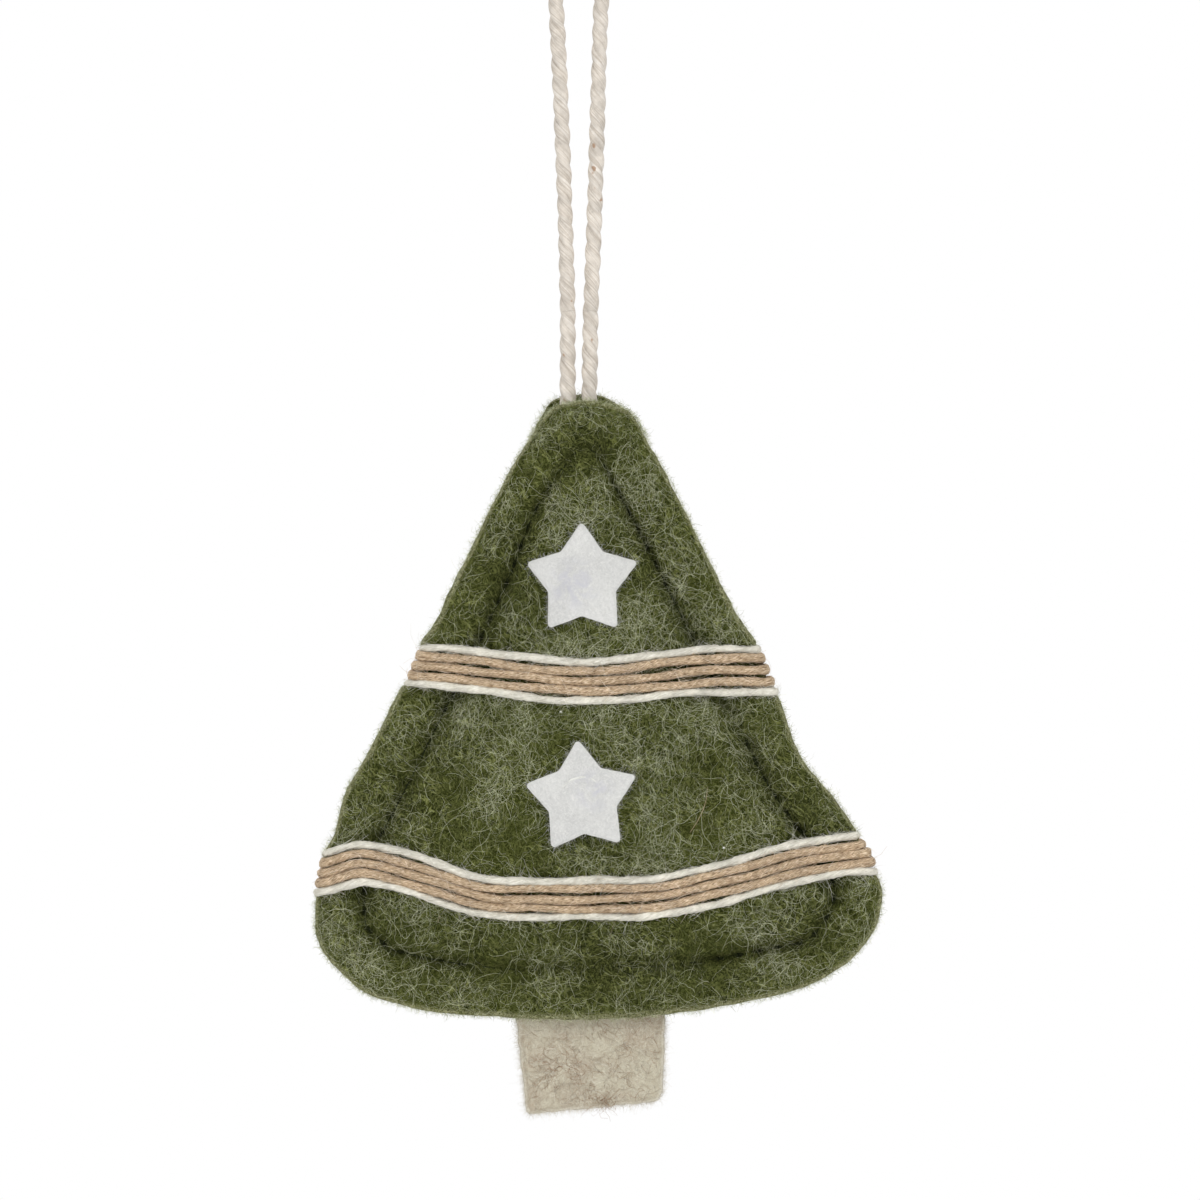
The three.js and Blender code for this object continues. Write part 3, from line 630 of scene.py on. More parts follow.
def outer_face(side, x, z):
    """Distance of a felt's outer face from the seam plane with its looks: the body face, small dents, a
    narrow groove along the seam with a dimple at each needle hole and small gathers between the holes, and
    on the front a pit in the seam and a shallow trough under each wound band."""
    distance, angle = body_polar(x, z)
    inside = np.minimum(1, edge_reach[side](angle) / np.maximum(distance, 1e-9))
    x = BODY_CENTRE[0] + (x - BODY_CENTRE[0]) * inside
    z = BODY_CENTRE[1] + (z - BODY_CENTRE[1]) * inside
    distance = distance * inside
    to_seam = seam_reach(angle)
    share = distance / to_seam
    face = body_face(side, x, z) + DENT_HEIGHT * DENTS[side](x, z) + NAP_HEIGHT * NAP[side](x, z)
    if side == "front":
        pit_x, pit_z, depth, radius = SEAM_PIT
        face = face - depth * soft_patch(x, z, pit_x, pit_z, radius)
    from_seam = distance - to_seam - SEAM_SWAY * SEAM_SLACK(x, z)
    along = np.interp(angle, seam_angle, seam_length, period=2 * np.pi) / STITCH_PITCH
    from_hole = (along - np.round(along)) * STITCH_PITCH
    groove = GROOVE_DEPTH * np.exp(-((from_seam / GROOVE_WIDTH) ** 2))
    hole = HOLE_DEPTH * np.exp(-(from_seam**2 + 0.5 * from_hole**2) / HOLE_RADIUS**2)
    gather = GATHER_HEIGHT * np.cos(2 * np.pi * along) * np.exp(-np.abs(from_seam) / GATHER_REACH)
    gather = gather * (1 - np.exp(-((from_seam / GATHER_GAP) ** 2)))
    face = face - (1 - COVERED_SHARE * seam_cover(side, x, z)) * (groove + hole + gather)
    if side == "front":
        for band in BANDS:
            under = np.exp(-(((z - band_height(band, x)) / TROUGH_WIDTH) ** 2))
            face = face - BAND_TROUGH * under * within(share, 0.7, 0.3)
    at_edge = smooth(1 - (edge_reach[side](angle) - distance) / EDGE_DIP_WIDTH)
    return face - EDGE_DIP * band_press(x, z) * at_edge


def new_mesh(name, points, quads, triangles=None, material=None):
    """A smooth-shaded mesh object from points in metres and arrays of corner numbers."""
    mesh = bpy.data.meshes.new(name)
    groups = [np.asarray(faces, np.int32) for faces in (quads, triangles) if faces is not None and len(faces)]
    corners = np.concatenate([faces.ravel() for faces in groups])
    sizes = np.concatenate([np.full(len(faces), faces.shape[1], np.int32) for faces in groups])
    mesh.vertices.add(len(points))
    mesh.vertices.foreach_set("co", np.asarray(points, np.float32).ravel())
    mesh.loops.add(len(corners))
    mesh.loops.foreach_set("vertex_index", corners)
    mesh.polygons.add(len(sizes))
    mesh.polygons.foreach_set("loop_start", np.concatenate([[0], np.cumsum(sizes)[:-1]]).astype(np.int32))
    mesh.update(calc_edges=True)
    mesh.validate()
    mesh.polygons.foreach_set("use_smooth", np.ones(len(sizes), bool))
    piece = bpy.data.objects.new(name, mesh)
    bpy.context.scene.collection.objects.link(piece)
    if material is not None:
        mesh.materials.append(material)
    return piece


def corner_uv(piece, name, per_corner):
    """A UV map from one pair of numbers per face corner."""
    layer = piece.data.uv_layers.new(name=name)
    layer.data.foreach_set("uv", np.asarray(per_corner, np.float32).ravel())


def point_value(piece, name, values):
    """A number per point, for the materials to read."""
    layer = piece.data.attributes.new(name, "FLOAT", "POINT")
    layer.data.foreach_set("value", np.asarray(values, np.float32).ravel())


def ring_quads(rings, count, start=0):
    """Corner numbers of the quads between rings of points, each ring closed on itself."""
    ring, column = np.meshgrid(np.arange(rings - 1), np.arange(count), indexing="ij")
    after = (column + 1) % count
    first = start + ring * count
    quads = np.stack([first + column, first + count + column, first + count + after, first + after], -1)
    return quads.reshape(-1, 4)


def end_fans(rings, columns):
    """Corner numbers of the triangles that close the first and the last ring to two poles, whose points come
    after those of the rings."""
    column = np.arange(columns)
    after = (column + 1) % columns
    last = (rings - 1) * columns
    first_fan = np.stack([np.full(columns, rings * columns), column, after], -1)
    last_fan = np.stack([np.full(columns, rings * columns + 1), last + after, last + column], -1)
    return np.vstack([first_fan, last_fan])


def disc_solid(name, rings, front_pole, back_pole, material):
    """A closed solid from rings of points in the tree's frame, from round the front pole out over the rim and
    back to round the back pole. The rings run counter-clockwise seen from the front."""
    count, columns = rings.shape[:2]
    points = np.vstack([rings.reshape(-1, 3), [front_pole, back_pole]])
    return new_mesh(name, to_world(points), ring_quads(count, columns), end_fans(count, columns), material)


# Materials.


def add_node(tree, kind, inputs=None, **settings):
    """A shader node with its settings, and its inputs by name or number: a value, or a socket to link
    from."""
    made = tree.nodes.new(kind)
    for key, value in settings.items():
        setattr(made, key, value)
    for key, value in (inputs or {}).items():
        if isinstance(value, bpy.types.NodeSocket):
            tree.links.new(value, made.inputs[key])
        else:
            made.inputs[key].default_value = value
    return made


def math_node(tree, operation, *values):
    """A Math node's result for values or sockets."""
    return add_node(tree, "ShaderNodeMath", dict(enumerate(values)), operation=operation).outputs[0]


def vector_node(tree, operation, *values):
    """A Vector Math node's result for values or sockets."""
    made = add_node(tree, "ShaderNodeVectorMath", dict(enumerate(values)), operation=operation)
    return made.outputs["Value" if operation == "LENGTH" else "Vector"]


def mix_colour(tree, share, first, second):
    """A colour Mix node's result. Its colour sockets are numbers 6 and 7."""
    made = add_node(tree, "ShaderNodeMix", {0: share, 6: first, 7: second}, data_type="RGBA")
    return made.outputs[2]


def spread(tree, value, low, high, out_low=0.0, out_high=1.0):
    """A value mapped smoothly from one range to another."""
    made = add_node(
        tree,
        "ShaderNodeMapRange",
        {0: value, 1: low, 2: high, 3: out_low, 4: out_high},
        interpolation_type="SMOOTHSTEP",
    )
    return made.outputs[0]


def noise(tree, vector, scale, detail=2.0, roughness=0.5, distortion=0.0):
    """A Noise texture's value."""
    made = add_node(
        tree,
        "ShaderNodeTexNoise",
        {
            "Vector": vector,
            "Scale": scale,
            "Detail": detail,
            "Roughness": roughness,
            "Distortion": distortion,
        },
    )
    return made.outputs[0]


def new_group(name, inputs, outputs):
    """An empty node group with named sockets: each input is (name, kind, default)."""
    group = bpy.data.node_groups.new(name, "ShaderNodeTree")
    for label, kind, default in inputs:
        socket = group.interface.new_socket(label, in_out="INPUT", socket_type=kind)
        if default is not None:
            socket.default_value = default
    for label, kind in outputs:
        group.interface.new_socket(label, in_out="OUTPUT", socket_type=kind)
    entry = group.nodes.new("NodeGroupInput")
    result = group.nodes.new("NodeGroupOutput")
    return group, entry.outputs, result.inputs


def srgb(red, green, blue):
    """A colour given in screen values from 0 to 255, as linear light."""
    value = np.array([red, green, blue]) / 255
    linear = np.where(value <= 0.04045, value / 12.92, ((value + 0.055) / 1.055) ** 2.4)
    return (*linear.tolist(), 1.0)


def flowing(tree, vector, turn, across, along):
    """Places turned about the depth axis and squeezed, so that a noise there stretches along one
    direction."""
    turned = add_node(
        tree,
        "ShaderNodeVectorRotate",
        {"Vector": vector, "Axis": (0, 1, 0), "Angle": turn},
        rotation_type="AXIS_ANGLE",
    ).outputs[0]
    return vector_node(tree, "MULTIPLY", turned, (across, 0.5 * across, along))


def thin_lines(tree, vector, width):
    """Thin lines where a noise passes its middle value, broken up by a second noise."""
    off_line = math_node(tree, "ABSOLUTE", math_node(tree, "SUBTRACT", noise(tree, vector, 1.0, 1.0), 0.5))
    line = spread(tree, off_line, 0.3 * width, width, 1.0, 0.0)
    return math_node(tree, "MULTIPLY", line, spread(tree, noise(tree, vector, 0.7, 0.0), 0.42, 0.6))


def wool_felt_group():
    """Wool felt: two soft noises shade from a deep to a middle colour in patches. Over them lie layers of
    fine streaks, each a noise stretched along its own direction in a place that a slow noise has pushed
    about, and then layers of thin flowing lines, the palest where a frost noise is high. All add up to the
    height."""
    group, given, result = new_group(
        "wool_felt",
        [
            ("Vector", "NodeSocketVector", None),
            ("Deep", "NodeSocketColor", (0.02, 0.03, 0.01, 1)),
            ("Middle", "NodeSocketColor", (0.08, 0.09, 0.04, 1)),
            ("Pale", "NodeSocketColor", (0.3, 0.3, 0.2, 1)),
            ("Fibres", "NodeSocketFloat", 0.5),
            ("Patches", "NodeSocketFloat", 60.0),
            ("Grain", "NodeSocketFloat", 0.3),
        ],
        [("Color", "NodeSocketColor"), ("Height", "NodeSocketFloat"), ("Roughness", "NodeSocketFloat")],
    )
    vector = given["Vector"]
    broad = noise(group, vector, given["Patches"], 3.0, 0.6, 0.4)
    small = noise(group, vector, 420.0, 4.0, 0.65, 0.3)
    mixed = math_node(group, "MULTIPLY_ADD", broad, 0.7, math_node(group, "MULTIPLY", small, 0.3))
    base = mix_colour(group, spread(group, mixed, 0.38, 0.62), given["Deep"], given["Middle"])
    frost = spread(group, noise(group, vector, 95.0, 3.0, 0.6, 0.5), 0.36, 0.66, 0.2, 1.0)
    push = add_node(group, "ShaderNodeTexNoise", {"Vector": vector, "Scale": 300.0, "Detail": 2.0})
    centred = vector_node(group, "SUBTRACT", push.outputs["Color"], (0.5, 0.5, 0.5))
    moved = vector_node(group, "MULTIPLY_ADD", centred, (0.0042, 0.0042, 0.0042), vector)
    half_pale = mix_colour(group, 0.36, given["Middle"], given["Pale"])
    colour = base
    height = math_node(group, "MULTIPLY", small, 0.5)
    layers = []
    for turn, tint, low, high in (
        (0.5, given["Deep"], 0.48, 0.7),
        (-0.6, half_pale, 0.5, 0.74),
        (2.1, given["Deep"], 0.5, 0.72),
        (1.4, half_pale, 0.52, 0.76),
    ):
        streaks = noise(group, flowing(group, moved, turn, 11000.0, 1000.0), 1.0, 1.0)
        layers.append((spread(group, streaks, low, high), tint))
    for turn, across, along, tint in ((0.25, 3300.0, 620.0, half_pale), (-1.0, 2800.0, 560.0, half_pale)):
        layers.append((thin_lines(group, flowing(group, moved, turn, across, along), 0.06), tint))
    palest = thin_lines(group, flowing(group, moved, 0.8, 3000.0, 580.0), 0.055)
    layers.append((math_node(group, "MULTIPLY", palest, frost), given["Pale"]))
    for layer, tint in layers:
        colour = mix_colour(group, math_node(group, "MULTIPLY", layer, given["Fibres"]), colour, tint)
        height = math_node(group, "MULTIPLY_ADD", layer, -0.4 if tint is given["Deep"] else 0.4, height)
    grain = math_node(group, "SUBTRACT", noise(group, vector, 2600.0, 2.0, 0.6, 0.2), 0.5)
    shade = math_node(group, "MULTIPLY_ADD", math_node(group, "MULTIPLY", grain, 2.0), given["Grain"], 1.0)
    group.links.new(vector_node(group, "MULTIPLY", colour, shade), result["Color"])
    group.links.new(math_node(group, "MULTIPLY_ADD", grain, 0.5, height), result["Height"])
    group.links.new(spread(group, grain, -0.2, 0.2, 0.85, 1.0), result["Roughness"])
    return group


def fibre_tone_group():
    """Loose fibre: the piece's own number, tone, picks a colour between three, and a fine noise flecks it."""
    group, given, result = new_group(
        "fibre_tone",
        [
            ("Vector", "NodeSocketVector", None),
            ("Tone", "NodeSocketFloat", 0.5),
            ("Dark", "NodeSocketColor", (0.05, 0.06, 0.03, 1)),
            ("Mild", "NodeSocketColor", (0.15, 0.16, 0.1, 1)),
            ("Light", "NodeSocketColor", (0.4, 0.42, 0.34, 1)),
        ],
        [("Color", "NodeSocketColor")],
    )
    lower = mix_colour(group, spread(group, given["Tone"], 0.0, 0.5), given["Dark"], given["Mild"])
    colour = mix_colour(group, spread(group, given["Tone"], 0.5, 1.0), lower, given["Light"])
    fleck = spread(group, noise(group, given["Vector"], 900.0, 2.0), 0.3, 0.7, 0.85, 1.12)
    group.links.new(vector_node(group, "MULTIPLY", colour, fleck), result["Color"])
    return group


def plied_yarn_group():
    """Twisted yarn: streaks run along each ply, from a noise stretched along the yarn's own UV map and
    slanted by the twist, and a noise in space shades them in patches."""
    group, given, result = new_group(
        "plied_yarn",
        [
            ("UV", "NodeSocketVector", None),
            ("Vector", "NodeSocketVector", None),
            ("Dark", "NodeSocketColor", (0.2, 0.15, 0.1, 1)),
            ("Mild", "NodeSocketColor", (0.4, 0.3, 0.2, 1)),
            ("Light", "NodeSocketColor", (0.6, 0.5, 0.4, 1)),
            ("Streaks", "NodeSocketFloat", 9.0),
            ("Slant", "NodeSocketFloat", 0.5),
            ("Breaks", "NodeSocketFloat", 1.0),
        ],
        [("Color", "NodeSocketColor"), ("Height", "NodeSocketFloat")],
    )
    split = add_node(group, "ShaderNodeSeparateXYZ", {0: given["UV"]})
    slanted = math_node(group, "MULTIPLY", split.outputs[1], given["Slant"])
    turned = math_node(group, "ADD", split.outputs[0], slanted)
    placed = add_node(
        group,
        "ShaderNodeCombineXYZ",
        {
            0: math_node(group, "MULTIPLY", turned, given["Streaks"]),
            1: math_node(group, "MULTIPLY", split.outputs[1], given["Breaks"]),
        },
    ).outputs[0]
    streak = noise(group, placed, 1.0, 4.0, 0.62, 0.25)
    patch = noise(group, given["Vector"], 420.0, 3.0, 0.6)
    low = mix_colour(group, spread(group, streak, 0.34, 0.54), given["Dark"], given["Mild"])
    high = mix_colour(group, spread(group, streak, 0.5, 0.68), low, given["Light"])
    tint = spread(group, patch, 0.3, 0.7, 0.86, 1.1)
    group.links.new(vector_node(group, "MULTIPLY", high, tint), result["Color"])
    group.links.new(streak, result["Height"])
    return group


WOOL_FELT = wool_felt_group()
FIBRE_TONE = fibre_tone_group()
PLIED_YARN = plied_yarn_group()


def new_material(name, roughness, sheen=0.0, sheen_tint=(1, 1, 1, 1), specular=0.2):
    """A material with a bare Principled shader, and its tree."""
    material = bpy.data.materials.new(name)
    material.use_nodes = True
    tree = material.node_tree
    shader = tree.nodes["Principled BSDF"]
    shader.inputs["Roughness"].default_value = roughness
    shader.inputs["Specular IOR Level"].default_value = specular
    shader.inputs["Sheen Weight"].default_value = sheen
    shader.inputs["Sheen Roughness"].default_value = 0.5
    shader.inputs["Sheen Tint"].default_value = sheen_tint
    return material, tree, shader


def bump(tree, height, shader, strength, distance):
    """A Bump node from a height to the shader's normal."""
    made = add_node(tree, "ShaderNodeBump", {"Height": height, "Strength": strength, "Distance": distance})
    tree.links.new(made.outputs[0], shader.inputs["Normal"])


def object_place(tree):
    """Object coordinates."""
    return tree.nodes.new("ShaderNodeTexCoord").outputs["Object"]


def felt_material(name, deep, middle, pale, fibres, patches, grain, sheen, bump_strength, cut):
    """Felt: the wool felt group's colour, height and roughness, with a paler colour on the cut edge, where
    the piece's own number, rim, is high: partly raised fibres, partly painted light that brightens the edge
    against the shade that falls on it."""
    material, tree, shader = new_material(name, 0.95, sheen, pale, 0.06)
    given = {"Vector": object_place(tree), "Deep": deep, "Middle": middle, "Pale": pale}
    given.update({"Fibres": fibres, "Patches": patches, "Grain": grain})
    wool = add_node(tree, "ShaderNodeGroup", given, node_tree=WOOL_FELT)
    # rim mixes in the pale edge colour: raised fibres together with painted light on the edge
    rim = add_node(tree, "ShaderNodeAttribute", attribute_name="rim").outputs["Fac"]
    raised = spread(tree, noise(tree, object_place(tree), 4200.0, 2.0, 0.6), 0.4, 0.6, 0.15, 0.95)
    colour = mix_colour(tree, math_node(tree, "MULTIPLY", rim, raised), wool.outputs["Color"], cut)
    tree.links.new(colour, shader.inputs["Base Color"])
    tree.links.new(wool.outputs["Roughness"], shader.inputs["Roughness"])
    bump(tree, wool.outputs["Height"], shader, bump_strength, 0.0003)
    return material


def fibre_material(name, dark, mild, light):
    """Loose fibres, coloured by the tone that each carries."""
    material, tree, shader = new_material(name, 0.8, specular=0.08)
    given = {"Dark": dark, "Mild": mild, "Light": light, "Vector": object_place(tree)}
    given["Tone"] = add_node(tree, "ShaderNodeAttribute", attribute_name="tone").outputs["Fac"]
    fibre = add_node(tree, "ShaderNodeGroup", given, node_tree=FIBRE_TONE)
    tree.links.new(fibre.outputs["Color"], shader.inputs["Base Color"])
    return material


def yarn_material(name, dark, mild, light, streaks, slant, breaks, sheen):
    """Twisted yarn on its own UV map, named lay: turns round the yarn across, turns of the twist along."""
    material, tree, shader = new_material(name, 0.9, sheen, light)
    given = {"Dark": dark, "Mild": mild, "Light": light, "Streaks": streaks, "Slant": slant, "Breaks": breaks}
    given["UV"] = add_node(tree, "ShaderNodeUVMap", uv_map="lay").outputs[0]
    given["Vector"] = object_place(tree)
    yarn = add_node(tree, "ShaderNodeGroup", given, node_tree=PLIED_YARN)
    tree.links.new(yarn.outputs["Color"], shader.inputs["Base Color"])
    bump(tree, yarn.outputs["Height"], shader, 0.6, 0.00012)
    return material


def cotton_material():
    """Cotton cord: twisted yarn with a few brown flecks of seed, where a fine noise is at its highest."""
    tones = srgb(184, 174, 162), srgb(208, 200, 189), srgb(220, 214, 206)
    material = yarn_material("cotton_cord", *tones, streaks=24.0, slant=0.4, breaks=1.6, sheen=0.3)
    tree = material.node_tree
    shader = tree.nodes["Principled BSDF"]
    plain = shader.inputs["Base Color"].links[0].from_socket
    fleck = spread(tree, noise(tree, object_place(tree), 620.0, 1.0), 0.73, 0.8, 0.0, 0.8)
    tree.links.new(mix_colour(tree, fleck, plain, srgb(158, 124, 96)), shader.inputs["Base Color"])
    return material


GREEN_FELT = felt_material(
    "green_felt",
    deep=srgb(26, 31, 3),
    middle=srgb(52, 58, 15),
    pale=srgb(150, 155, 94),
    fibres=0.8,
    patches=62.0,
    grain=0.4,
    sheen=0.06,
    bump_strength=0.8,
    # cut: the pale edge colour, raised fibres with painted light
    cut=srgb(168, 167, 128),
)
GREEN_FIBRE = fibre_material("green_fibre", srgb(43, 49, 9), srgb(112, 120, 58), srgb(232, 234, 200))
OAT_FELT = felt_material(
    "oat_felt",
    deep=srgb(162, 148, 130),
    middle=srgb(185, 179, 159),
    pale=srgb(204, 200, 184),
    fibres=0.6,
    patches=120.0,
    grain=0.06,
    sheen=0.1,
    bump_strength=0.3,
    # cut: the pale edge colour, raised fibres with painted light
    cut=srgb(206, 201, 187),
)
OAT_FIBRE = fibre_material("oat_fibre", srgb(150, 116, 90), srgb(196, 187, 168), srgb(228, 223, 210))
WHITE_FIBRE = fibre_material("white_fibre", srgb(190, 190, 190), srgb(214, 214, 211), srgb(232, 232, 228))
COTTON = cotton_material()
JUTE = yarn_material(
    "jute",
    dark=srgb(108, 85, 61),
    mild=srgb(186, 162, 132),
    light=srgb(226, 208, 183),
    streaks=38.0,
    slant=0.5,
    breaks=26.0,
    sheen=0.3,
)
JUTE_FIBRE = fibre_material("jute_fibre", srgb(112, 88, 64), srgb(200, 174, 144), srgb(240, 226, 206))
YARN = yarn_material(
    "white_yarn",
    dark=srgb(192, 188, 173),
    mild=srgb(214, 210, 197),
    light=srgb(227, 224, 213),
    streaks=18.0,
    slant=0.5,
    breaks=18.0,
    sheen=0.4,
)
YARN_FIBRE = fibre_material("yarn_fibre", srgb(186, 181, 165), srgb(220, 217, 205), srgb(240, 238, 229))
THREAD = yarn_material(
    "green_thread",
    dark=srgb(22, 27, 7),
    mild=srgb(34, 40, 13),
    light=srgb(50, 56, 22),
    streaks=4.0,
    slant=0.8,
    breaks=1.0,
    sheen=0.0,
)


def white_felt_material():
    """White felt of the stars: the wool felt group in near whites, with a grey blotch where the glue under
    each star's centre has soaked in."""
    material = felt_material(
        "white_felt",
        deep=srgb(192, 192, 190),
        middle=srgb(206, 206, 203),
        pale=srgb(216, 215, 212),
        fibres=0.6,
        patches=150.0,
        grain=0.16,
        sheen=0.1,
        bump_strength=0.3,
        # cut: the pale edge colour, raised fibres with painted light
        cut=srgb(214, 214, 211),
    )
    tree = material.node_tree
    shader = tree.nodes["Principled BSDF"]
    plain = shader.inputs["Base Color"].links[0].from_socket
    place = object_place(tree)
    blotch = None
    for x, z, radius in BLOTCHES.values():
        centre = to_world(np.array([x, 0.0, z]))
        apart = vector_node(tree, "SUBTRACT", place, (centre[0], 0, centre[2]))
        away = vector_node(tree, "LENGTH", vector_node(tree, "MULTIPLY", apart, (1, 0, 1)))
        spot = spread(tree, away, 0.15 * radius * MM, radius * MM, 1.0, 0.0)
        blotch = spot if blotch is None else math_node(tree, "MAXIMUM", blotch, spot)
    ragged = spread(tree, noise(tree, place, 420.0, 4.0, 0.65, 0.6), 0.4, 0.66)
    soaked = math_node(tree, "MULTIPLY", math_node(tree, "MULTIPLY", blotch, ragged), 0.75)
    tree.links.new(mix_colour(tree, soaked, plain, srgb(184, 184, 192)), shader.inputs["Base Color"])
    return material


WHITE_FELT = white_felt_material()


def filling_material():
    """Fibrefill: white wisps from a stretched noise."""
    material, tree, shader = new_material("fibrefill", 0.9, 0.3)
    wisp = noise(tree, object_place(tree), 300.0, 5.0, 0.7, 1.2)
    colour = mix_colour(tree, spread(tree, wisp, 0.3, 0.7), srgb(226, 225, 220), srgb(246, 246, 243))
    tree.links.new(colour, shader.inputs["Base Color"])
    bump(tree, wisp, shader, 0.6, 0.001)
    return material


def glue_material():
    """Set clear glue: milky, glossy, with a few bubbles."""
    material, tree, shader = new_material("hot_glue", 0.3, specular=0.5)
    cloud = noise(tree, object_place(tree), 700.0, 3.0)
    colour = mix_colour(tree, spread(tree, cloud, 0.3, 0.7), srgb(196, 196, 190), srgb(222, 222, 216))
    tree.links.new(colour, shader.inputs["Base Color"])
    tree.links.new(spread(tree, cloud, 0.3, 0.7, 0.2, 0.45), shader.inputs["Roughness"])
    return material


# Camera: a long lens, square on to the front, framed as a picture 192 mm wide and high.

FRAME_WIDTH = 0.192
FRAME_CENTRE = (0.00346, -0.106)
CAMERA_DISTANCE = 2.4
SENSOR_WIDTH = 36
camera = bpy.data.objects.new("camera", bpy.data.cameras.new("camera"))
bpy.context.scene.collection.objects.link(camera)
camera.data.sensor_width = SENSOR_WIDTH
camera.data.lens = SENSOR_WIDTH * CAMERA_DISTANCE / FRAME_WIDTH
camera.location = (FRAME_CENTRE[0], -CAMERA_DISTANCE, FRAME_CENTRE[1])
camera.rotation_euler = (math.pi / 2, 0, 0)
bpy.context.scene.camera = camera


# Hanging cord.


def square_to(tangent, normal):
    """Two directions square to a path: the one nearest a given normal, and the one square to both."""
    out = unit(normal - (normal * tangent).sum(-1, keepdims=True) * tangent)
    return out, np.cross(tangent, out)


def tube_rings(path, normal, radius, phase):
    """Rings of points round a path: at each point a section, given as a radius for each angle, is turned by
    that point's phase in the plane square to the path. normal is a direction that the path never runs
    along."""
    sides = radius.shape[1]
    out, across = square_to(unit(np.gradient(path, axis=0)), normal)
    angle = np.arange(sides) / sides * 2 * np.pi + phase[:, None]
    spoke = out[:, None] * np.cos(angle)[..., None] + across[:, None] * np.sin(angle)[..., None]
    return path[:, None] + spoke * radius[..., None]


def tube_piece(name, rings, material, lay_along):
    """A closed tube from rings, with flat ends, and its UV map lay: share of the way round, and turns
    along."""
    count, sides = rings.shape[:2]
    points = np.vstack([rings.reshape(-1, 3), rings[0].mean(0)[None], rings[-1].mean(0)[None]])
    piece = new_mesh(name, points * MM, ring_quads(count, sides), end_fans(count, sides), material)
    ring, side = np.meshgrid(np.arange(count - 1), np.arange(sides), indexing="ij")
    corner_side = np.stack([side, side, side + 1, side + 1], -1).reshape(-1) / sides
    corner_lay = lay_along[np.stack([ring, ring + 1, ring + 1, ring], -1).reshape(-1)]
    ends = np.concatenate([np.repeat(lay_along[0], 3 * sides), np.repeat(lay_along[-1], 3 * sides)])
    u = np.concatenate([corner_side, np.full(6 * sides, 0.5)])
    corner_uv(piece, "lay", np.stack([u, np.concatenate([corner_lay, ends])], -1))
    return piece


def cord_route():
    """Middle line of the whole cord, from its left end in the seam up the left leg, over the hook and down
    the right leg: straight roots, legs that open by a share and its square, and a round bight, made smooth
    by a running mean and evenly spaced. The right leg bows out a little."""
    foot = ROOT_LENGTH + CLEARANCE - LOOP_DROP
    end = TREE_PLACE[2] + CORD_END
    share = np.linspace(0, 1, 41)
    opening = LEG_OPENING * (share * (1 - LATE_OPENING) + share**2 * LATE_OPENING)
    leg = np.stack([CORD_SPREAD / 2 + opening, foot + (-BIGHT_DROP - foot) * share], -1)
    turn = np.pi * np.linspace(BIGHT_START, 0.5, 25)
    centre = CORD_DIAMETER / 2 - BIGHT_RADIUS
    bight = np.stack([BIGHT_RADIUS * np.cos(turn), centre + BIGHT_RADIUS * np.sin(turn)], -1)
    right = evenly(np.vstack([[[CORD_SPREAD / 2, end]], leg, bight]), CORD_STEP, False)
    bowed = right + [RIGHT_LEG_BOW, 0] * np.sin(np.pi * np.clip(right[:, 1:] / end, 0, 1)) ** 2
    line = np.vstack([right[:-1] * (-1, 1), bowed[::-1]])
    eased = eased_line(line, 21)
    eased[[0, -1]] = line[[0, -1]]
    flat = evenly(eased, CORD_STEP, False)
    return at_depth(flat, np.zeros(len(flat)))


def rope_radius(count, sides):
    """Section of a three-strand rope: at each angle the outer edge of three round strands set about the
    middle, with slow changes in thickness along it."""
    offset = 0.52
    strand = 0.77
    angle = np.arange(sides) / sides * 2 * np.pi
    from_strand = (angle + np.pi / 3) % (2 * np.pi / 3) - np.pi / 3
    edge = offset * np.cos(from_strand) + np.sqrt(strand**2 - (offset * np.sin(from_strand)) ** 2)
    rng = np.random.default_rng(21)
    along = np.arange(count) * CORD_STEP
    uneven = sum(np.sin(along / wave + rng.uniform(0, 6.28)) for wave in (1.3, 2.9, 5.7, 11.0)) * 0.012
    return edge * (1 + uneven[:, None])


CORD_LINE = cord_route()
cord_length = distance_along(CORD_LINE)
CORD_TURNS = cord_length / CORD_LAY
cord_rings = tube_rings(
    CORD_LINE, np.array([0.0, -1.0, 0.0]), rope_radius(len(CORD_LINE), 32), -2 * np.pi * CORD_TURNS
)
loop_foot = ROOT_LENGTH + CLEARANCE - LOOP_DROP
middle_of_cord = len(CORD_LINE) // 2
left_split = int(np.argmin(np.abs(CORD_LINE[:middle_of_cord, 2] - loop_foot)))
right_split = middle_of_cord + int(np.argmin(np.abs(CORD_LINE[middle_of_cord:, 2] - loop_foot)))
CORD_PARTS = {
    "cord_leg_left": slice(0, left_split + 1),
    "hanging_loop_cord": slice(left_split, right_split + 1),
    "cord_leg_right": slice(right_split, len(CORD_LINE)),
}
cord_pieces = {}
for name, part in CORD_PARTS.items():
    cord_pieces[name] = tube_piece(name, cord_rings[part], COTTON, CORD_TURNS[part])


# Loose fibres.


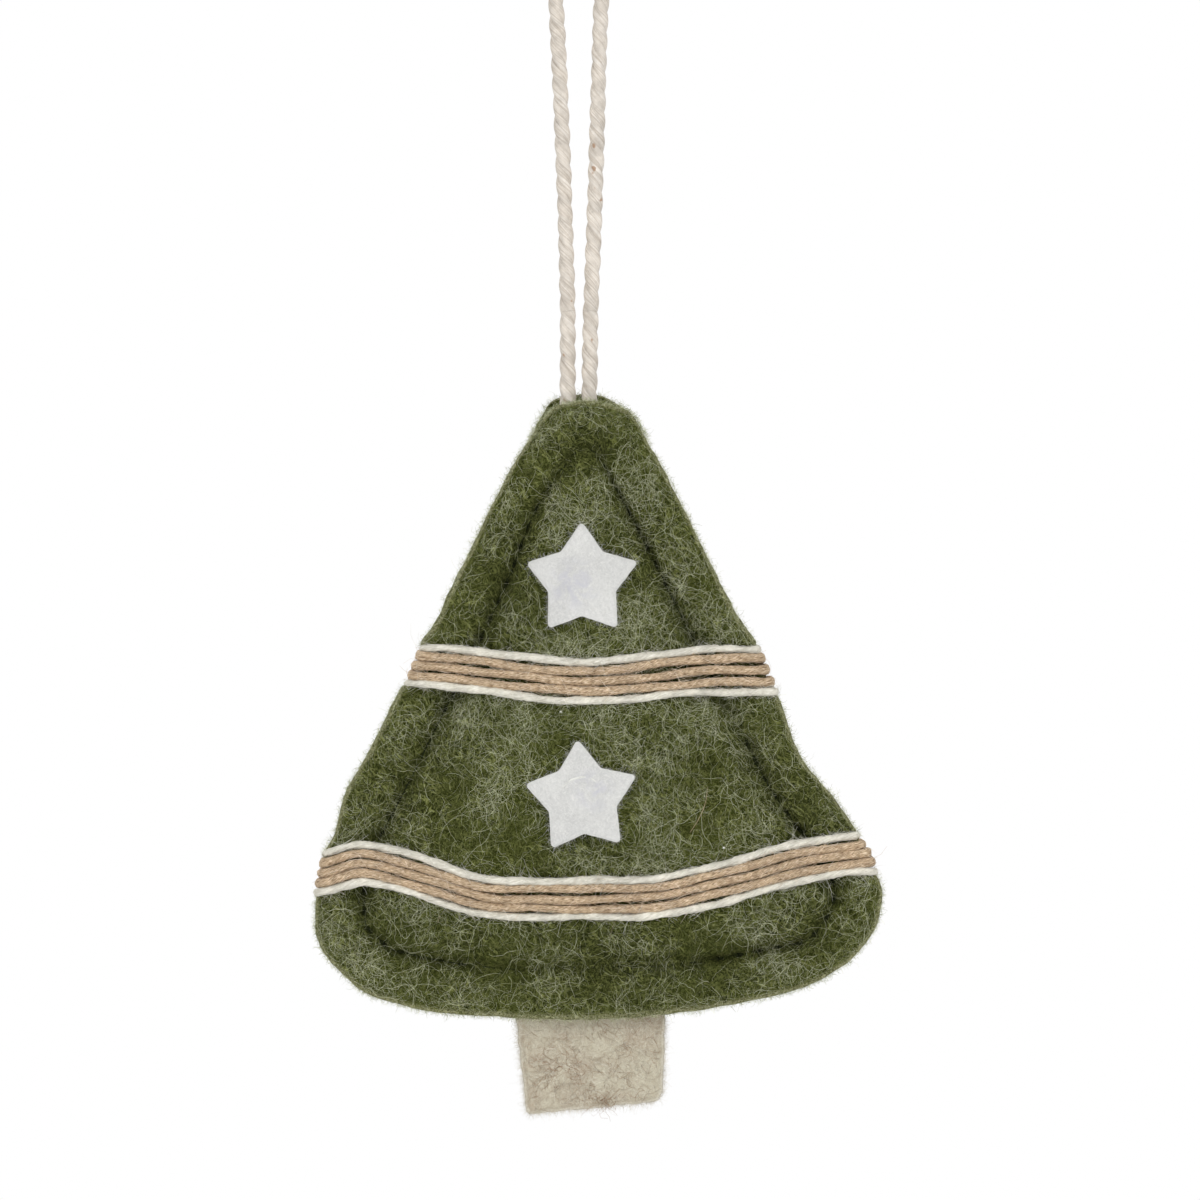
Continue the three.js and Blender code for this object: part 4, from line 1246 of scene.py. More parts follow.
def fibre_piece(name, paths, radius, tone, material, place=to_world):
    """Loose fibres as thin closed three-sided tubes that taper to their ends: one path of points each, and
    one tone and radius each. Its UV map OFBake gives every fibre a cell of a square grid."""
    count, steps = paths.shape[:2]
    tangent = unit(np.gradient(paths, axis=1))
    helper = np.where(np.abs(tangent[..., 1:2]) < 0.8, [0.0, 1.0, 0.0], [1.0, 0.0, 0.0])
    out = unit(np.cross(tangent, helper))
    across = np.cross(tangent, out)
    taper = 0.35 + 0.65 * np.sin(np.pi * np.linspace(0.06, 0.94, steps)) ** 0.5
    size = (np.asarray(radius)[:, None] * taper)[..., None, None]
    angle = np.arange(3) / 3 * 2 * np.pi
    spoke = out[:, :, None] * np.cos(angle)[:, None] + across[:, :, None] * np.sin(angle)[:, None]
    points = (paths[:, :, None] + size * spoke).reshape(-1, 3)
    fibre, step, side = np.meshgrid(np.arange(count), np.arange(steps - 1), np.arange(3), indexing="ij")
    first = (fibre * steps + step) * 3
    after = (side + 1) % 3
    quads = np.stack([first + side, first + after, first + 3 + after, first + 3 + side], -1).reshape(-1, 4)
    root = np.arange(count)[:, None] * steps * 3
    caps = np.vstack([root + [2, 1, 0], root + (steps - 1) * 3 + [0, 1, 2]])
    piece = new_mesh(name, place(points), quads, caps, material)
    point_value(piece, "tone", np.repeat(tone, steps * 3))
    cells = int(np.ceil(np.sqrt(count)))
    cell = np.stack([fibre % cells, fibre // cells], -1)[..., None, :]
    u = np.stack([side, side + 1, side + 1, side], -1) / 3
    v = np.stack([step, step, step + 1, step + 1], -1) / (steps - 1)
    inner = 0.15 + 0.7 * np.stack([u, v], -1)
    quad_uv = ((cell + inner) / cells).reshape(-1, 2)
    tip = np.array([[0.2, 0.2], [0.8, 0.2], [0.5, 0.8]])
    which = np.tile(np.arange(count), 2)
    cap_uv = (np.stack([which % cells, which // cells], -1)[:, None] + tip) / cells
    corner_uv(piece, "OFBake", np.vstack([quad_uv, cap_uv.reshape(-1, 2)]))
    return piece


def wander(rng, start, heading, length, steps, curl, kink):
    """Curled lines in a plane: the heading turns by a curl along each line and by a random kink at every
    step, and the steps add up."""
    count = len(start)
    bend = rng.normal(0, curl, count)[:, None] * np.linspace(0, 1, steps)
    kinks = np.cumsum(rng.normal(0, kink, (count, steps)), axis=1)
    angle = heading[:, None] + bend + kinks
    move = np.stack([np.cos(angle), np.sin(angle)], -1) * (length / (steps - 1))[:, None, None]
    return start[:, None] + np.cumsum(move, axis=1) - move[:, :1]


def inside_points(rng, side, count, margin=0.0):
    """Random points spread evenly over a felt, at least a margin inside its edge."""
    low, high = EDGE[side].min(0), EDGE[side].max(0)
    tries = rng.uniform(low, high, (count * 4, 2))
    distance, angle = body_polar(tries[:, 0], tries[:, 1])
    return tries[distance < edge_reach[side](angle) - margin]


def under_star(points):
    """Whether points lie well inside the outline of a star."""
    found = False
    for star in STARS:
        outline = star_outline(star)
        found = found | inside_outline(points, outline, outline.mean(0), 0.7)
    return found


def felt_fibres(name, side, seed, count, frosty, length, radius, lift, tones, steps):
    """Fibres that lie curled over a felt: they start where a frost field is high, follow a slow flow field,
    and rise over the felt in an arch."""
    rng = np.random.default_rng(seed)
    spots = inside_points(rng, side, count * 3)
    frost = 0.5 + 0.55 * FROST[side](spots[:, 0], spots[:, 1])
    distance, angle = body_polar(spots[:, 0], spots[:, 1])
    bare = BARE_SHARE * (1 - seam_cover(side, spots[:, 0], spots[:, 1]))
    off_seam = 1 - bare * np.exp(-(((distance - seam_reach(angle)) / BARE_WIDTH) ** 2))
    keep = rng.random(len(spots)) < np.clip(frost, 0.1, 1) ** frosty * off_seam
    start = spots[keep][:count]
    count = len(start)
    flow = FLOW[side](start[:, 0], start[:, 1]) * 1.6
    heading = np.pi / 2 + flow + rng.normal(0, 0.75, count) + np.pi * rng.integers(0, 2, count)
    size = rng.uniform(*length, count) * rng.uniform(0.6, 1, count)
    line = wander(rng, start, heading, size, steps, 1.9, 0.4)
    distance, angle = body_polar(line[..., 0], line[..., 1])
    inside = (distance < cut_reach[side](angle) + 0.5).all(axis=1)
    if side == "front":
        inside &= ~under_star(line).any(axis=1)
    start, line = start[inside], line[inside]
    count = len(start)
    share = np.linspace(0, 1, steps)
    rise = rng.gamma(1.6, lift / 1.6, count)[:, None] * np.sin(np.pi * share) ** 0.8
    over = np.maximum(0, distance[inside] - cut_reach[side](angle[inside]))
    height = outer_face(side, line[..., 0], line[..., 1]) - 0.03 + rise - 1.2 * over
    paths = at_depth(line, FRONT[side] * height)
    pale = np.clip(0.5 + 0.5 * FROST[side](start[:, 0], start[:, 1]), 0, 1)
    tone = np.clip(rng.normal(tones[0], tones[1], count) + 0.18 * (pale - 0.5), 0, 1)
    return fibre_piece(name, paths, np.exp(rng.uniform(*np.log(radius), count)), tone, GREEN_FIBRE)


def frost_field(seed, patches):
    """Where pale fibres gather: a slow random field with soft round patches added or taken off, from about -1
    to 1."""
    waves = wave_field(seed, 13)

    def field(x, z):
        total = 0.75 * waves(x, z) - 0.28
        for patch_x, patch_z, radius, strength in patches:
            total = total + strength * soft_patch(x, z, patch_x, patch_z, radius)
        return total

    return field


FROST = {"front": frost_field(31, FROST_AND_SHADE_PATCHES), "back": frost_field(32, [])}
FLOW = {"front": wave_field(33, 26), "back": wave_field(34, 26)}


def edge_picks(rng, line, count):
    """Random places along a felt's edge, one in eight of them near the tip, where the cut is most worn."""
    tip = np.flatnonzero(line[:, 1] > TIP_WEAR_HEIGHT)
    return np.where(rng.random(count) < 0.125, rng.choice(tip, count), rng.integers(0, len(line), count))


def edge_fibres(name, side, seed, count):
    """Short fuzz round the cut edge of a felt: it starts on the rim, off the bands, and leans outwards at
    random."""
    rng = np.random.default_rng(seed)
    line = CUT[side]
    pick = edge_picks(rng, line, count)
    pick = pick[rng.random(count) > band_press(line[pick, 0], line[pick, 1])]
    count = len(pick)
    outward = edge_directions(line)[1][pick]
    steps = 4
    heading = np.arctan2(outward[:, 1], outward[:, 0]) + rng.normal(0, 0.85, count)
    size = 0.45 + rng.gamma(1.6, 0.2, count)
    root = line[pick] + outward * rng.uniform(-0.2, 0.4, count)[:, None]
    path = wander(rng, root, heading, size, steps, 1.8, 0.4)
    inner, outer = plain_faces(side, *(line[pick] - outward * 0.6).T)
    depth = inner + (outer - inner) * rng.random(count) ** 0.7
    sway = rng.normal(0, 0.3, count)[:, None] * np.linspace(0, 1, steps)
    paths = at_depth(path, FRONT[side] * (depth[:, None] + sway))
    tone = np.clip(rng.normal(0.72, 0.18, count), 0, 1)
    return fibre_piece(name, paths, rng.uniform(0.011, 0.024, count), tone, GREEN_FIBRE)


def rim_fibres(name, side, seed, count):
    """Fibres that lie along the cut edge of a felt, near it or bent over it."""
    rng = np.random.default_rng(seed)
    line = CUT[side]
    pick = edge_picks(rng, line, count)
    along, outward = (direction[pick] for direction in edge_directions(line))
    steps = 5
    start = line[pick] - outward * rng.gamma(1.3, 0.8, count)[:, None]
    heading = np.arctan2(along[:, 1], along[:, 0]) + rng.normal(0, 0.6, count)
    heading = heading + np.pi * rng.integers(0, 2, count)
    path = wander(rng, start, heading, rng.uniform(1.2, 4, count), steps, 1.6, 0.4)
    distance, angle = body_polar(path[..., 0], path[..., 1])
    over = np.maximum(0, distance - cut_reach[side](angle))
    near = ((over < 0.45).all(axis=1)) & (band_press(start[:, 0], start[:, 1]) < 0.2)
    path, over = path[near], over[near]
    rise = rng.gamma(1.6, 0.08, len(path))[:, None] * np.sin(np.pi * np.linspace(0, 1, steps))
    height = outer_face(side, path[..., 0], path[..., 1]) - 0.03 + rise - 1.6 * over
    paths = at_depth(path, FRONT[side] * height)
    tone = np.clip(rng.normal(0.62, 0.22, len(path)), 0, 1)
    return fibre_piece(name, paths, rng.uniform(0.008, 0.021, len(path)), tone, GREEN_FIBRE)


def slab_fibres(
    name, outline, faces, material, *, seed, count, fuzz_count, below, depth, length, tones, tufts=()
):
    """Fibres of a flat piece: some lie curled on its front and back, darker ones gather in tufts, and short
    pale fuzz leans out from its edge. Only places under a height are used."""
    rng = np.random.default_rng(seed)
    steps = 4
    in_tuft = 22
    share = np.linspace(0, 1, steps)
    low, high = outline.min(0), np.minimum(outline.max(0), [1e9, below])
    start = rng.uniform(low, high, (count, 2))
    lying_tone = rng.normal(*tones, count)
    for number, (x, z, radius) in enumerate(tufts):
        mine = slice(number * in_tuft, (number + 1) * in_tuft)
        start[mine] = rng.normal((x, z), radius, (in_tuft, 2))
        lying_tone[mine] = rng.normal(0.15, 0.15, in_tuft)
    size = rng.uniform(*length, count)
    line = wander(rng, start, rng.uniform(0, 2 * np.pi, count), size, steps, 2.2, 0.4)
    all_tufts = len(tufts) * in_tuft
    inside = inside_outline(line, outline, (low + high) / 2).all(axis=1) | (np.arange(count) < all_tufts)
    inside &= (line[..., 1] < below + 0.5).all(axis=1)
    first_plain = int(inside[:all_tufts].sum())
    line, lying_tone = line[inside], lying_tone[inside]
    count = len(line)
    rise = rng.gamma(1.5, 0.09, count)[:, None] * np.sin(np.pi * share) ** 0.8 - 0.02
    on_back = ((rng.random(count) < 0.4) & (np.arange(count) >= first_plain))[:, None]
    front, back = (face(line[..., 0], line[..., 1]) for face in faces)
    lying = at_depth(line, np.where(on_back, -back + rise, -front - rise))
    free = np.flatnonzero(outline[:, 1] < below)
    pick = rng.choice(free, fuzz_count)
    outward = edge_directions(outline)[1][pick]
    heading = np.arctan2(outward[:, 1], outward[:, 0]) + rng.normal(0, 0.7, fuzz_count)
    root = outline[pick] - outward * rng.uniform(0.1, 0.5, fuzz_count)[:, None]
    long = 0.4 + rng.gamma(1.6, 0.26, fuzz_count)
    out = wander(rng, root, heading, long, steps, 1.0, 0.3)
    middle = -0.5 * (faces[0](root[:, 0], root[:, 1]) + faces[1](root[:, 0], root[:, 1]))
    off_middle = rng.uniform(-depth, depth, fuzz_count)[:, None]
    sway = rng.normal(0, 0.2, (fuzz_count, 1)) * share
    paths = np.concatenate([lying, at_depth(out, middle[:, None] + off_middle + sway)])
    tone = np.clip(np.concatenate([lying_tone, rng.normal(tones[0] + 0.25, 0.15, fuzz_count)]), 0, 1)
    radius = np.concatenate([rng.uniform(0.016, 0.03, count), rng.uniform(0.009, 0.016, fuzz_count)])
    return fibre_piece(name, paths, radius, tone, material)


def laid_fibres(name, lines, radius, tone, material):
    """A few single fibres on the front felt, each along a line given by its points, a hair over the felt."""
    x, z = np.moveaxis(np.array(lines), -1, 0)
    paths = np.stack([x, FRONT["front"] * (outer_face("front", x, z) + 0.12), z], -1)
    return fibre_piece(name, paths, np.full(len(paths), radius), np.full(len(paths), tone), material)


# Felt panels.


def felt_panel(side):
    """One felt of the tree: rays from the body centre through evenly spaced points of the edge, with rings
    closer together at the seam, over a round cut edge, and back along the inner face."""
    edge = evenly(EDGE[side], EDGE_STEP[side], True)
    _, angle = body_polar(edge[:, 0], edge[:, 1])
    to_seam, to_edge = seam_reach(angle), cut_reach[side](angle)
    crown = 1 - (1 - np.linspace(0, 1, 63)[1:-1]) ** 1.25
    flange = np.linspace(0, 1, 27) ** 1.15
    reach = np.vstack([crown[:, None] * to_seam, to_seam + flange[:, None] * (to_edge - to_seam)])
    x, z = from_polar(reach, angle)
    outer = np.stack([x, FRONT[side] * outer_face(side, x, z), z], -1)
    rim_x, rim_z = x[-1], z[-1]
    inner_rim = plain_faces(side, rim_x, rim_z)[0] - TOUCHING
    outer_rim = np.abs(outer[-1, :, 1])
    turn = np.linspace(0, 1, 8)[1:-1, None]
    ragged = RIM_RAGGED * wave_field(43, 1.1)(rim_x * 3, rim_z * 3 + 7 * turn)
    bulge = to_edge + RIM_BULGE * np.sin(np.pi * turn) ** 0.8 + ragged
    depth = outer_rim + (inner_rim - outer_rim) * (0.5 - 0.5 * np.cos(np.pi * turn))
    rim = at_depth(np.stack(from_polar(bulge, angle), -1), FRONT[side] * depth)
    inside_seam = np.linspace(1, 0.06, 14)[:, None] * to_seam
    inner_reach = np.vstack([to_edge, to_seam + 0.5 * (to_edge - to_seam), inside_seam])
    inner_x, inner_z = from_polar(inner_reach, angle)
    inner_height = plain_faces(side, inner_x, inner_z)[0] - TOUCHING
    inner = np.stack([inner_x, FRONT[side] * inner_height, inner_z], -1)
    rings = np.concatenate([outer, rim, inner])
    # Number rim: a paler edge, partly raised fibres and partly painted light. Its band widens along the
    # bottom, where it paints the light that comes up from below onto the downward-facing edge.
    rim_light_width = 0.45 + 0.7 * np.clip(-np.sin(angle) - 0.3, 0, 0.7)
    near_pale_lit_rim = smooth(1 - (to_edge - reach) / rim_light_width)
    at_edge = np.concatenate([near_pale_lit_rim, np.ones(rim.shape[:2]), np.zeros(inner.shape[:2])])
    pole = np.array(BODY_CENTRE[0]), np.array(BODY_CENTRE[1])
    front_pole = [0, FRONT[side] * float(outer_face(side, *pole)), BODY_CENTRE[1]]
    back_pole = [0, FRONT[side] * float(plain_faces(side, *pole)[0]), BODY_CENTRE[1]]
    if side == "back":
        rings, at_edge, front_pole, back_pole = rings[::-1], at_edge[::-1], back_pole, front_pole
    panel = disc_solid(f"{side}_felt", rings, front_pole, back_pole, GREEN_FELT)
    point_value(panel, "rim", np.append(at_edge, [0, 0]))
    return panel


felts = {side: felt_panel(side) for side in FRONT}


def seam_stitches(side):
    """Running stitches in the seam groove: each is a short twisted thread that rises from one needle hole and
    dips into the next."""
    hole = np.arange(STITCHES) * STITCH_PITCH
    share = np.linspace(0.04, 0.96, 11)
    along = (hole[:, None] + share * STITCH_PITCH).ravel()
    x = np.interp(along, seam_length, seam_closed[:, 0])
    z = np.interp(along, seam_length, seam_closed[:, 1])
    distance, _ = body_polar(x, z)
    shift = 1 + SEAM_SWAY * SEAM_SLACK(x, z) / distance
    x, z = x * shift, BODY_CENTRE[1] + (z - BODY_CENTRE[1]) * shift
    rise = np.tile(0.3 * np.sin(np.pi * share) ** 0.6 - 0.56, STITCHES)
    y = FRONT[side] * (outer_face(side, x, z) + rise)
    paths = np.stack([x, y, z], -1).reshape(STITCHES, len(share), 3)
    out, across = square_to(unit(np.gradient(paths, axis=1)), np.array([0.0, FRONT[side], 0.0]))
    sides = 6
    turn = np.arange(sides) / sides * 2 * np.pi
    angle = turn + (share * 5.0)[:, None]
    size = THREAD_DIAMETER / 2 * (1 + 0.14 * np.cos(2 * turn)) * np.ones_like(angle)
    spoke = out[:, :, None] * np.cos(angle)[..., None] + across[:, :, None] * np.sin(angle)[..., None]
    points = (paths[:, :, None] + spoke * size[..., None]).reshape(-1, 3)
    ring_count = len(share)
    one = ring_quads(ring_count, sides)
    first = np.arange(STITCHES)[:, None, None] * ring_count * sides
    quads = (one + first).reshape(-1, 4)
    fan = np.stack([np.zeros(sides - 2, int), np.arange(1, sides - 1), np.arange(2, sides)], -1)
    last = (ring_count - 1) * sides
    caps = np.concatenate([(fan + first).reshape(-1, 3), (fan[:, ::-1] + last + first).reshape(-1, 3)])
    piece = new_mesh(f"seam_stitches_{side}", to_world(points), quads, caps, THREAD)
    ring, column = np.meshgrid(np.arange(ring_count - 1), np.arange(sides), indexing="ij")
    u = np.stack([column, column, column + 1, column + 1], -1) / sides
    v = np.stack([ring, ring + 1, ring + 1, ring], -1) / ring_count
    quad_uv = np.tile(np.stack([u, v], -1).reshape(-1, 2), (STITCHES, 1))
    corner_uv(piece, "lay", np.vstack([quad_uv, np.full((caps.size, 2), 0.5)]))
    return piece


stitches = {side: seam_stitches(side) for side in FRONT}


def stuffing_piece():
    """The filling: both faces follow the inside of the felts, a little inside them, with soft lumps."""
    angle = np.arange(120) / 120 * 2 * np.pi
    share = np.linspace(0, 0.93, 17)[1:]
    x, z = from_polar(share[:, None] * seam_reach(angle), angle)
    lumps = 0.25 * np.abs(DENTS["front"](x, z))
    depth = np.maximum(plain_faces("front", x, z)[0] - 2 * CLEARANCE - lumps, 0.2)
    front, back = (np.stack([x, sign * depth, z], -1) for sign in (-1, 1))
    top = STUFFING_DEPTH - 2 * CLEARANCE
    poles = [[0, sign * top, BODY_CENTRE[1]] for sign in (-1, 1)]
    return disc_solid("stuffing", np.concatenate([front, back[::-1]]), *poles, filling_material())


stuffing = stuffing_piece()


# Trunk and stars.


def felt_slab(name, outline, centre, heights, material, *, rings, rim_bulge, drop, round_width, rough):
    """A flat piece of felt: rings from its centre to its outline, the last ones rounding over a soft cut
    edge, on a front height and a back height given over X and Z."""
    arm = outline - centre
    length = np.linalg.norm(arm, axis=1)
    along = distance_along(np.vstack([outline, outline[:1]]))[:-1]
    slow = np.sin(along * 1.1 + 2 * np.sin(along * 0.43))
    ragged = rough * (slow + 0.5 * np.sin(along * 3.3 + np.sin(along)))
    arm = arm * ((length + ragged - rim_bulge) / length)[:, None]
    share = 1 - (1 - np.linspace(0, 1, rings + 1)[1:]) ** 1.6
    flat = centre + share[:, None, None] * arm
    to_edge = (1 - share[:, None]) * length
    drop = drop * smooth(1 - to_edge / round_width)
    front_height, back_height = (height(flat[..., 0], flat[..., 1]) for height in heights)
    front = at_depth(flat, -(front_height - drop))
    back = at_depth(flat, -(back_height + drop))
    turn = np.linspace(0, 1, 7)[1:-1, None]
    out = flat[-1] + unit(arm) * (rim_bulge * np.sin(np.pi * turn) ** 0.8)[..., None]
    mix = 0.5 - 0.5 * np.cos(np.pi * turn)
    rim = at_depth(out, front[-1, :, 1] + (back[-1, :, 1] - front[-1, :, 1]) * mix)
    solid = np.concatenate([front, rim, back[::-1]])
    middle = np.array(centre[0]), np.array(centre[1])
    poles = [[centre[0], -float(height(*middle)), centre[1]] for height in heights]
    piece = disc_solid(name, solid, *poles, material)
    # Number rim: a paler edge, partly raised fibres and partly painted light that brightens the rounded edge
    # against its shade.
    near_pale_lit_rim = np.broadcast_to(smooth(1 - to_edge / 0.45), front.shape[:2])
    at_edge = np.concatenate([near_pale_lit_rim, np.ones(rim.shape[:2]), near_pale_lit_rim[::-1]])
    point_value(piece, "rim", np.append(at_edge, [0, 0]))
    return piece


def trunk_piece():
    """The trunk tab: a flat felt slab with a slight warp, tucked between the felts past the seam."""
    left_top, right_top = ((x, TRUNK_TOP, 1) for x in (TRUNK_LEFT_TOP, TRUNK_RIGHT_TOP))
    corners = [left_top, TRUNK_LEFT_FOOT, TRUNK_RIGHT_FOOT, right_top]
    outline = evenly(rounded_outline(corners), 0.3, True)
    warp, nap = wave_field(51, 22), wave_field(52, 3.0)

    def below_hem(z):
        return smooth((HEM - z) / 4)

    def front(x, z):
        return TRUNK_THICKNESS / 2 + (TRUNK_WARP * warp(x, z) + TRUNK_NAP * nap(x, z)) * below_hem(z)

    def back(x, z):
        return -TRUNK_THICKNESS / 2 + (TRUNK_WARP * warp(x, z) + TRUNK_NAP * nap(x + 50, z)) * below_hem(z)

    slab = felt_slab(
        "trunk",
        outline,
        np.array([0.3, -3.5]),
        (front, back),
        OAT_FELT,
        rings=34,
        rim_bulge=0.2,
        drop=0.32,
        round_width=0.9,
        rough=0.09,
    )
    return slab, outline, (front, back)


trunk, trunk_outline, trunk_faces = trunk_piece()


def star_outline(star):
    """Outline of a five-pointed star with rounded tips and notches."""
    x, z, turn = STARS[star]
    angle = np.radians(90 + turn + 36 * np.arange(10))
    reach = np.where(np.arange(10) % 2 == 0, STAR_TIP, STAR_NOTCH)
    radius = np.where(np.arange(10) % 2 == 0, STAR_TIP_ROUND, STAR_NOTCH_ROUND)
    corners = np.stack([x + reach * np.cos(angle), z + reach * np.sin(angle), radius], -1)
    return evenly(rounded_outline(corners, 16), 0.22, True)


def star_faces(star):
    """Front and back height of a star: it stands on its glue in the middle and settles on the felt round
    it."""
    centre_x, centre_z, _ = STARS[star]
    nap = wave_field(60 + len(star) + int(centre_z), 1.6)

    def back(x, z):
        away = np.hypot(x - centre_x, z - centre_z)
        settled = STAR_SETTLING * smooth((away - 1.2) / 4.0)
        return body_face("front", x, z) + STAR_STAND_OFF - settled

    def front(x, z):
        return back(x, z) + STAR_THICKNESS + STAR_NAP * nap(x, z)

    return front, back


def star_piece(star):
    """A felt star on the front."""
    return felt_slab(
        f"felt_star_{star}",
        star_outline(star),
        np.array(STARS[star][:2]),
        star_faces(star),
        WHITE_FELT,
        rings=26,
        rim_bulge=0.12,
        drop=0.16,
        round_width=0.4,
        rough=0.025,
    )


stars = {star: star_piece(star) for star in STARS}


# Wound bands.


def drawn_round(x, face, stand_off):
    """A string drawn tight over a row of heights from edge to edge: the furthest point in each direction of a
    half turn, moved out along that direction by a stand-off."""
    angle = np.linspace(np.pi, 0, 721)
    normal = np.stack([np.cos(angle), np.sin(angle)], -1)
    points = np.stack([x, face], -1)
    return points[np.argmax(normal @ points.T, axis=1)] + stand_off * normal


def strand_pass(band, side, left, right, height_at, diameter):
    """One pass of a strand over the front or back, from the left edge to the right edge."""
    radius = diameter / 2
    ends = []
    for sign, (x, z), out, fan in zip((-1, 1), (left, right), BANDS[band]["ends"], BANDS[band]["fan"]):
        out = out + fan * (band_height(band, x) - z)
        ends.append(edge_at(sign, z) - sign * (EDGE_FUZZ + 1.82 * radius - out))
    between = np.arange(ends[0] + EDGE_ROUND_WIDTH, ends[1] - EDGE_ROUND_WIDTH, 0.4)
    x = np.concatenate([[ends[0]], between, [ends[1]]])
    inside = np.clip(x, left[0] + EDGE_ROUND_WIDTH, right[0] - EDGE_ROUND_WIDTH)
    z = height_at(inside)
    face = np.max([outer_face(side, inside, z + lower) for lower in (-radius, 0.0, radius)], axis=0)
    x = np.concatenate([[ends[0]], x, [ends[1]]])
    face = np.concatenate([[0.0], face, [0.0]])
    line = evenly(drawn_round(x, face, 0.82 * radius), PASS_STEP, False)
    height = height_at(np.clip(line[:, 0], left[0], right[0]))
    return np.stack([line[:, 0], FRONT[side] * line[:, 1], height], -1)


def edge_crossing(band, sign, pitches_down):
    """The point where a strand meets the left or right edge, by going back and forth between edge and
    height."""
    x = edge_at(sign, BANDS[band]["height"])
    for _ in range(8):
        x = edge_at(sign, band_height(band, x, pitches_down))
    return float(x), float(band_height(band, x, pitches_down))


def winding_route(band, first_pitch, turns, diameter):
    """A strand wound round the tree: from the middle of the back, over the front from left to right once a
    turn, a pitch lower on the back each time, then eased by a running mean and evenly spaced."""
    route = []
    for turn in range(turns + 1):
        pitch = first_pitch + turn
        left = edge_crossing(band, -1, pitch)
        back_right = edge_crossing(band, 1, pitch - 1)

        def across(x, left=left, right=back_right):
            return left[1] + (right[1] - left[1]) * (x - left[0]) / (right[0] - left[0])

        back = strand_pass(band, "back", left, back_right, across, diameter)[::-1]
        from_middle = back[:, 0] - CORD_OFFSET
        if turn == 0:
            back = back[from_middle < -STRAND_END_GAP / 2]
        if turn == turns:
            back = back[from_middle > STRAND_END_GAP / 2]
        route.append(back)
        if turn < turns:
            right = edge_crossing(band, 1, pitch)

            def over(x, pitch=pitch):
                return band_height(band, x, pitch)

            route.append(strand_pass(band, "front", left, right, over, diameter))
    return evenly(eased_line(evenly(np.vstack(route), ROUTE_STEP, False), 9), STRAND_STEP, False)


def strand_piece(name, route, diameter, material, *, lay, rough, spreading, seed, sides):
    """A strand along a route: its section is a bundle of fibres, cosine ridges of several counts whose
    places drift along it, turned with the twist, its thickness and its line wander a little, and it spreads
    as a bell curve of depth where it bends round the edge."""
    rng = np.random.default_rng(seed)
    along = distance_along(route)
    angle = np.arange(sides) / sides * 2 * np.pi
    uneven = sum(np.sin(along / wave + rng.uniform(0, 6.28)) for wave in (0.7, 1.9, 4.1, 9.0)) * 0.7 * rough
    uneven = uneven + spreading * np.exp(-((route[:, 1] / 2.5) ** 2))
    ridges = np.zeros((len(route), sides))
    for ridge_count in (3, 5, 7):
        place = np.cumsum(rng.normal(0, 0.16, len(route))) + rng.uniform(0, 6.28)
        ridges += rough * np.cos(ridge_count * angle + place[:, None])
    ridges += rng.normal(0, 0.8 * rough, ridges.shape)
    to_end = np.minimum(along, along[-1] - along)
    section = diameter / 2 * (1 + uneven[:, None] + ridges) * (1 - 0.6 * np.exp(-to_end / 0.4))[:, None]
    drift = sum(np.sin(along / wave + rng.uniform(0, 6.28)) for wave in (2.3, 5.3, 11.0)) * 0.1
    moved = route + drift[:, None] * [0, 0, 1]
    rings = tube_rings(moved, np.array([0.0, 0.0, 1.0]), section, -2 * np.pi * along / lay)
    return tube_piece(name, rings + TREE_PLACE, material, along / lay), moved


def strand_fibres(name, strands, seed, count, length, radius, slant, lift, tones, material, steps):
    """Fibres of strands: each follows its strand a little way, at a slant round it and close to its
    surface, many of them in the gaps above and below it or in tufts, and some lift off towards one end."""
    rng = np.random.default_rng(seed)
    weight = np.array([len(line) for line, _ in strands], float)
    which = rng.choice(len(strands), count, p=weight / weight.sum())
    paths = np.empty((count, steps, 3))
    for number, (line, diameter) in enumerate(strands):
        mine = np.flatnonzero(which == number)
        spacing = np.linalg.norm(line[1] - line[0])
        size = rng.uniform(*length, len(mine)) / spacing
        share = np.linspace(0, 1, steps)
        room = len(line) - 2 - length[1] / spacing
        tufts = rng.uniform(0, room, max(1, len(mine) // 14))
        begin = rng.choice(tufts, len(mine)) + rng.normal(0, 0.5 / spacing, len(mine))
        in_tuft = rng.random(len(mine)) < 0.6
        begin = np.where(in_tuft, np.clip(begin, 0, room), rng.uniform(0, room, len(mine)))
        at = begin[:, None] + size[:, None] * share
        index = np.arange(len(line))
        tangent = unit(np.gradient(line, axis=0))
        side = unit(np.cross(tangent, [0.0, 0.0, 1.0]))
        up = np.cross(side, tangent)
        middle, side, up = (
            np.stack([np.interp(at, index, column) for column in part.T], -1) for part in (line, side, up)
        )
        anywhere = rng.uniform(0, 2 * np.pi, len(mine))
        beside = rng.normal(0, 0.45, len(mine)) + np.pi * (rng.integers(0, 2, len(mine)) + 0.5)
        turn = np.where(rng.random(len(mine)) < 0.55, anywhere, beside)[:, None]
        turn = turn + rng.normal(0, slant, len(mine))[:, None] * share
        rising = np.where(rng.random(len(mine))[:, None] < 0.5, share, 1 - share) ** 1.6
        out = diameter / 2 * 0.99 + rng.gamma(0.8, lift, len(mine))[:, None] * rising
        spoke = side * np.cos(turn)[..., None] + up * np.sin(turn)[..., None]
        paths[mine] = middle + spoke * out[..., None]
    tone = np.clip(rng.normal(*tones, count), 0, 1)
    return fibre_piece(name, paths, rng.uniform(*radius, count), tone, material)


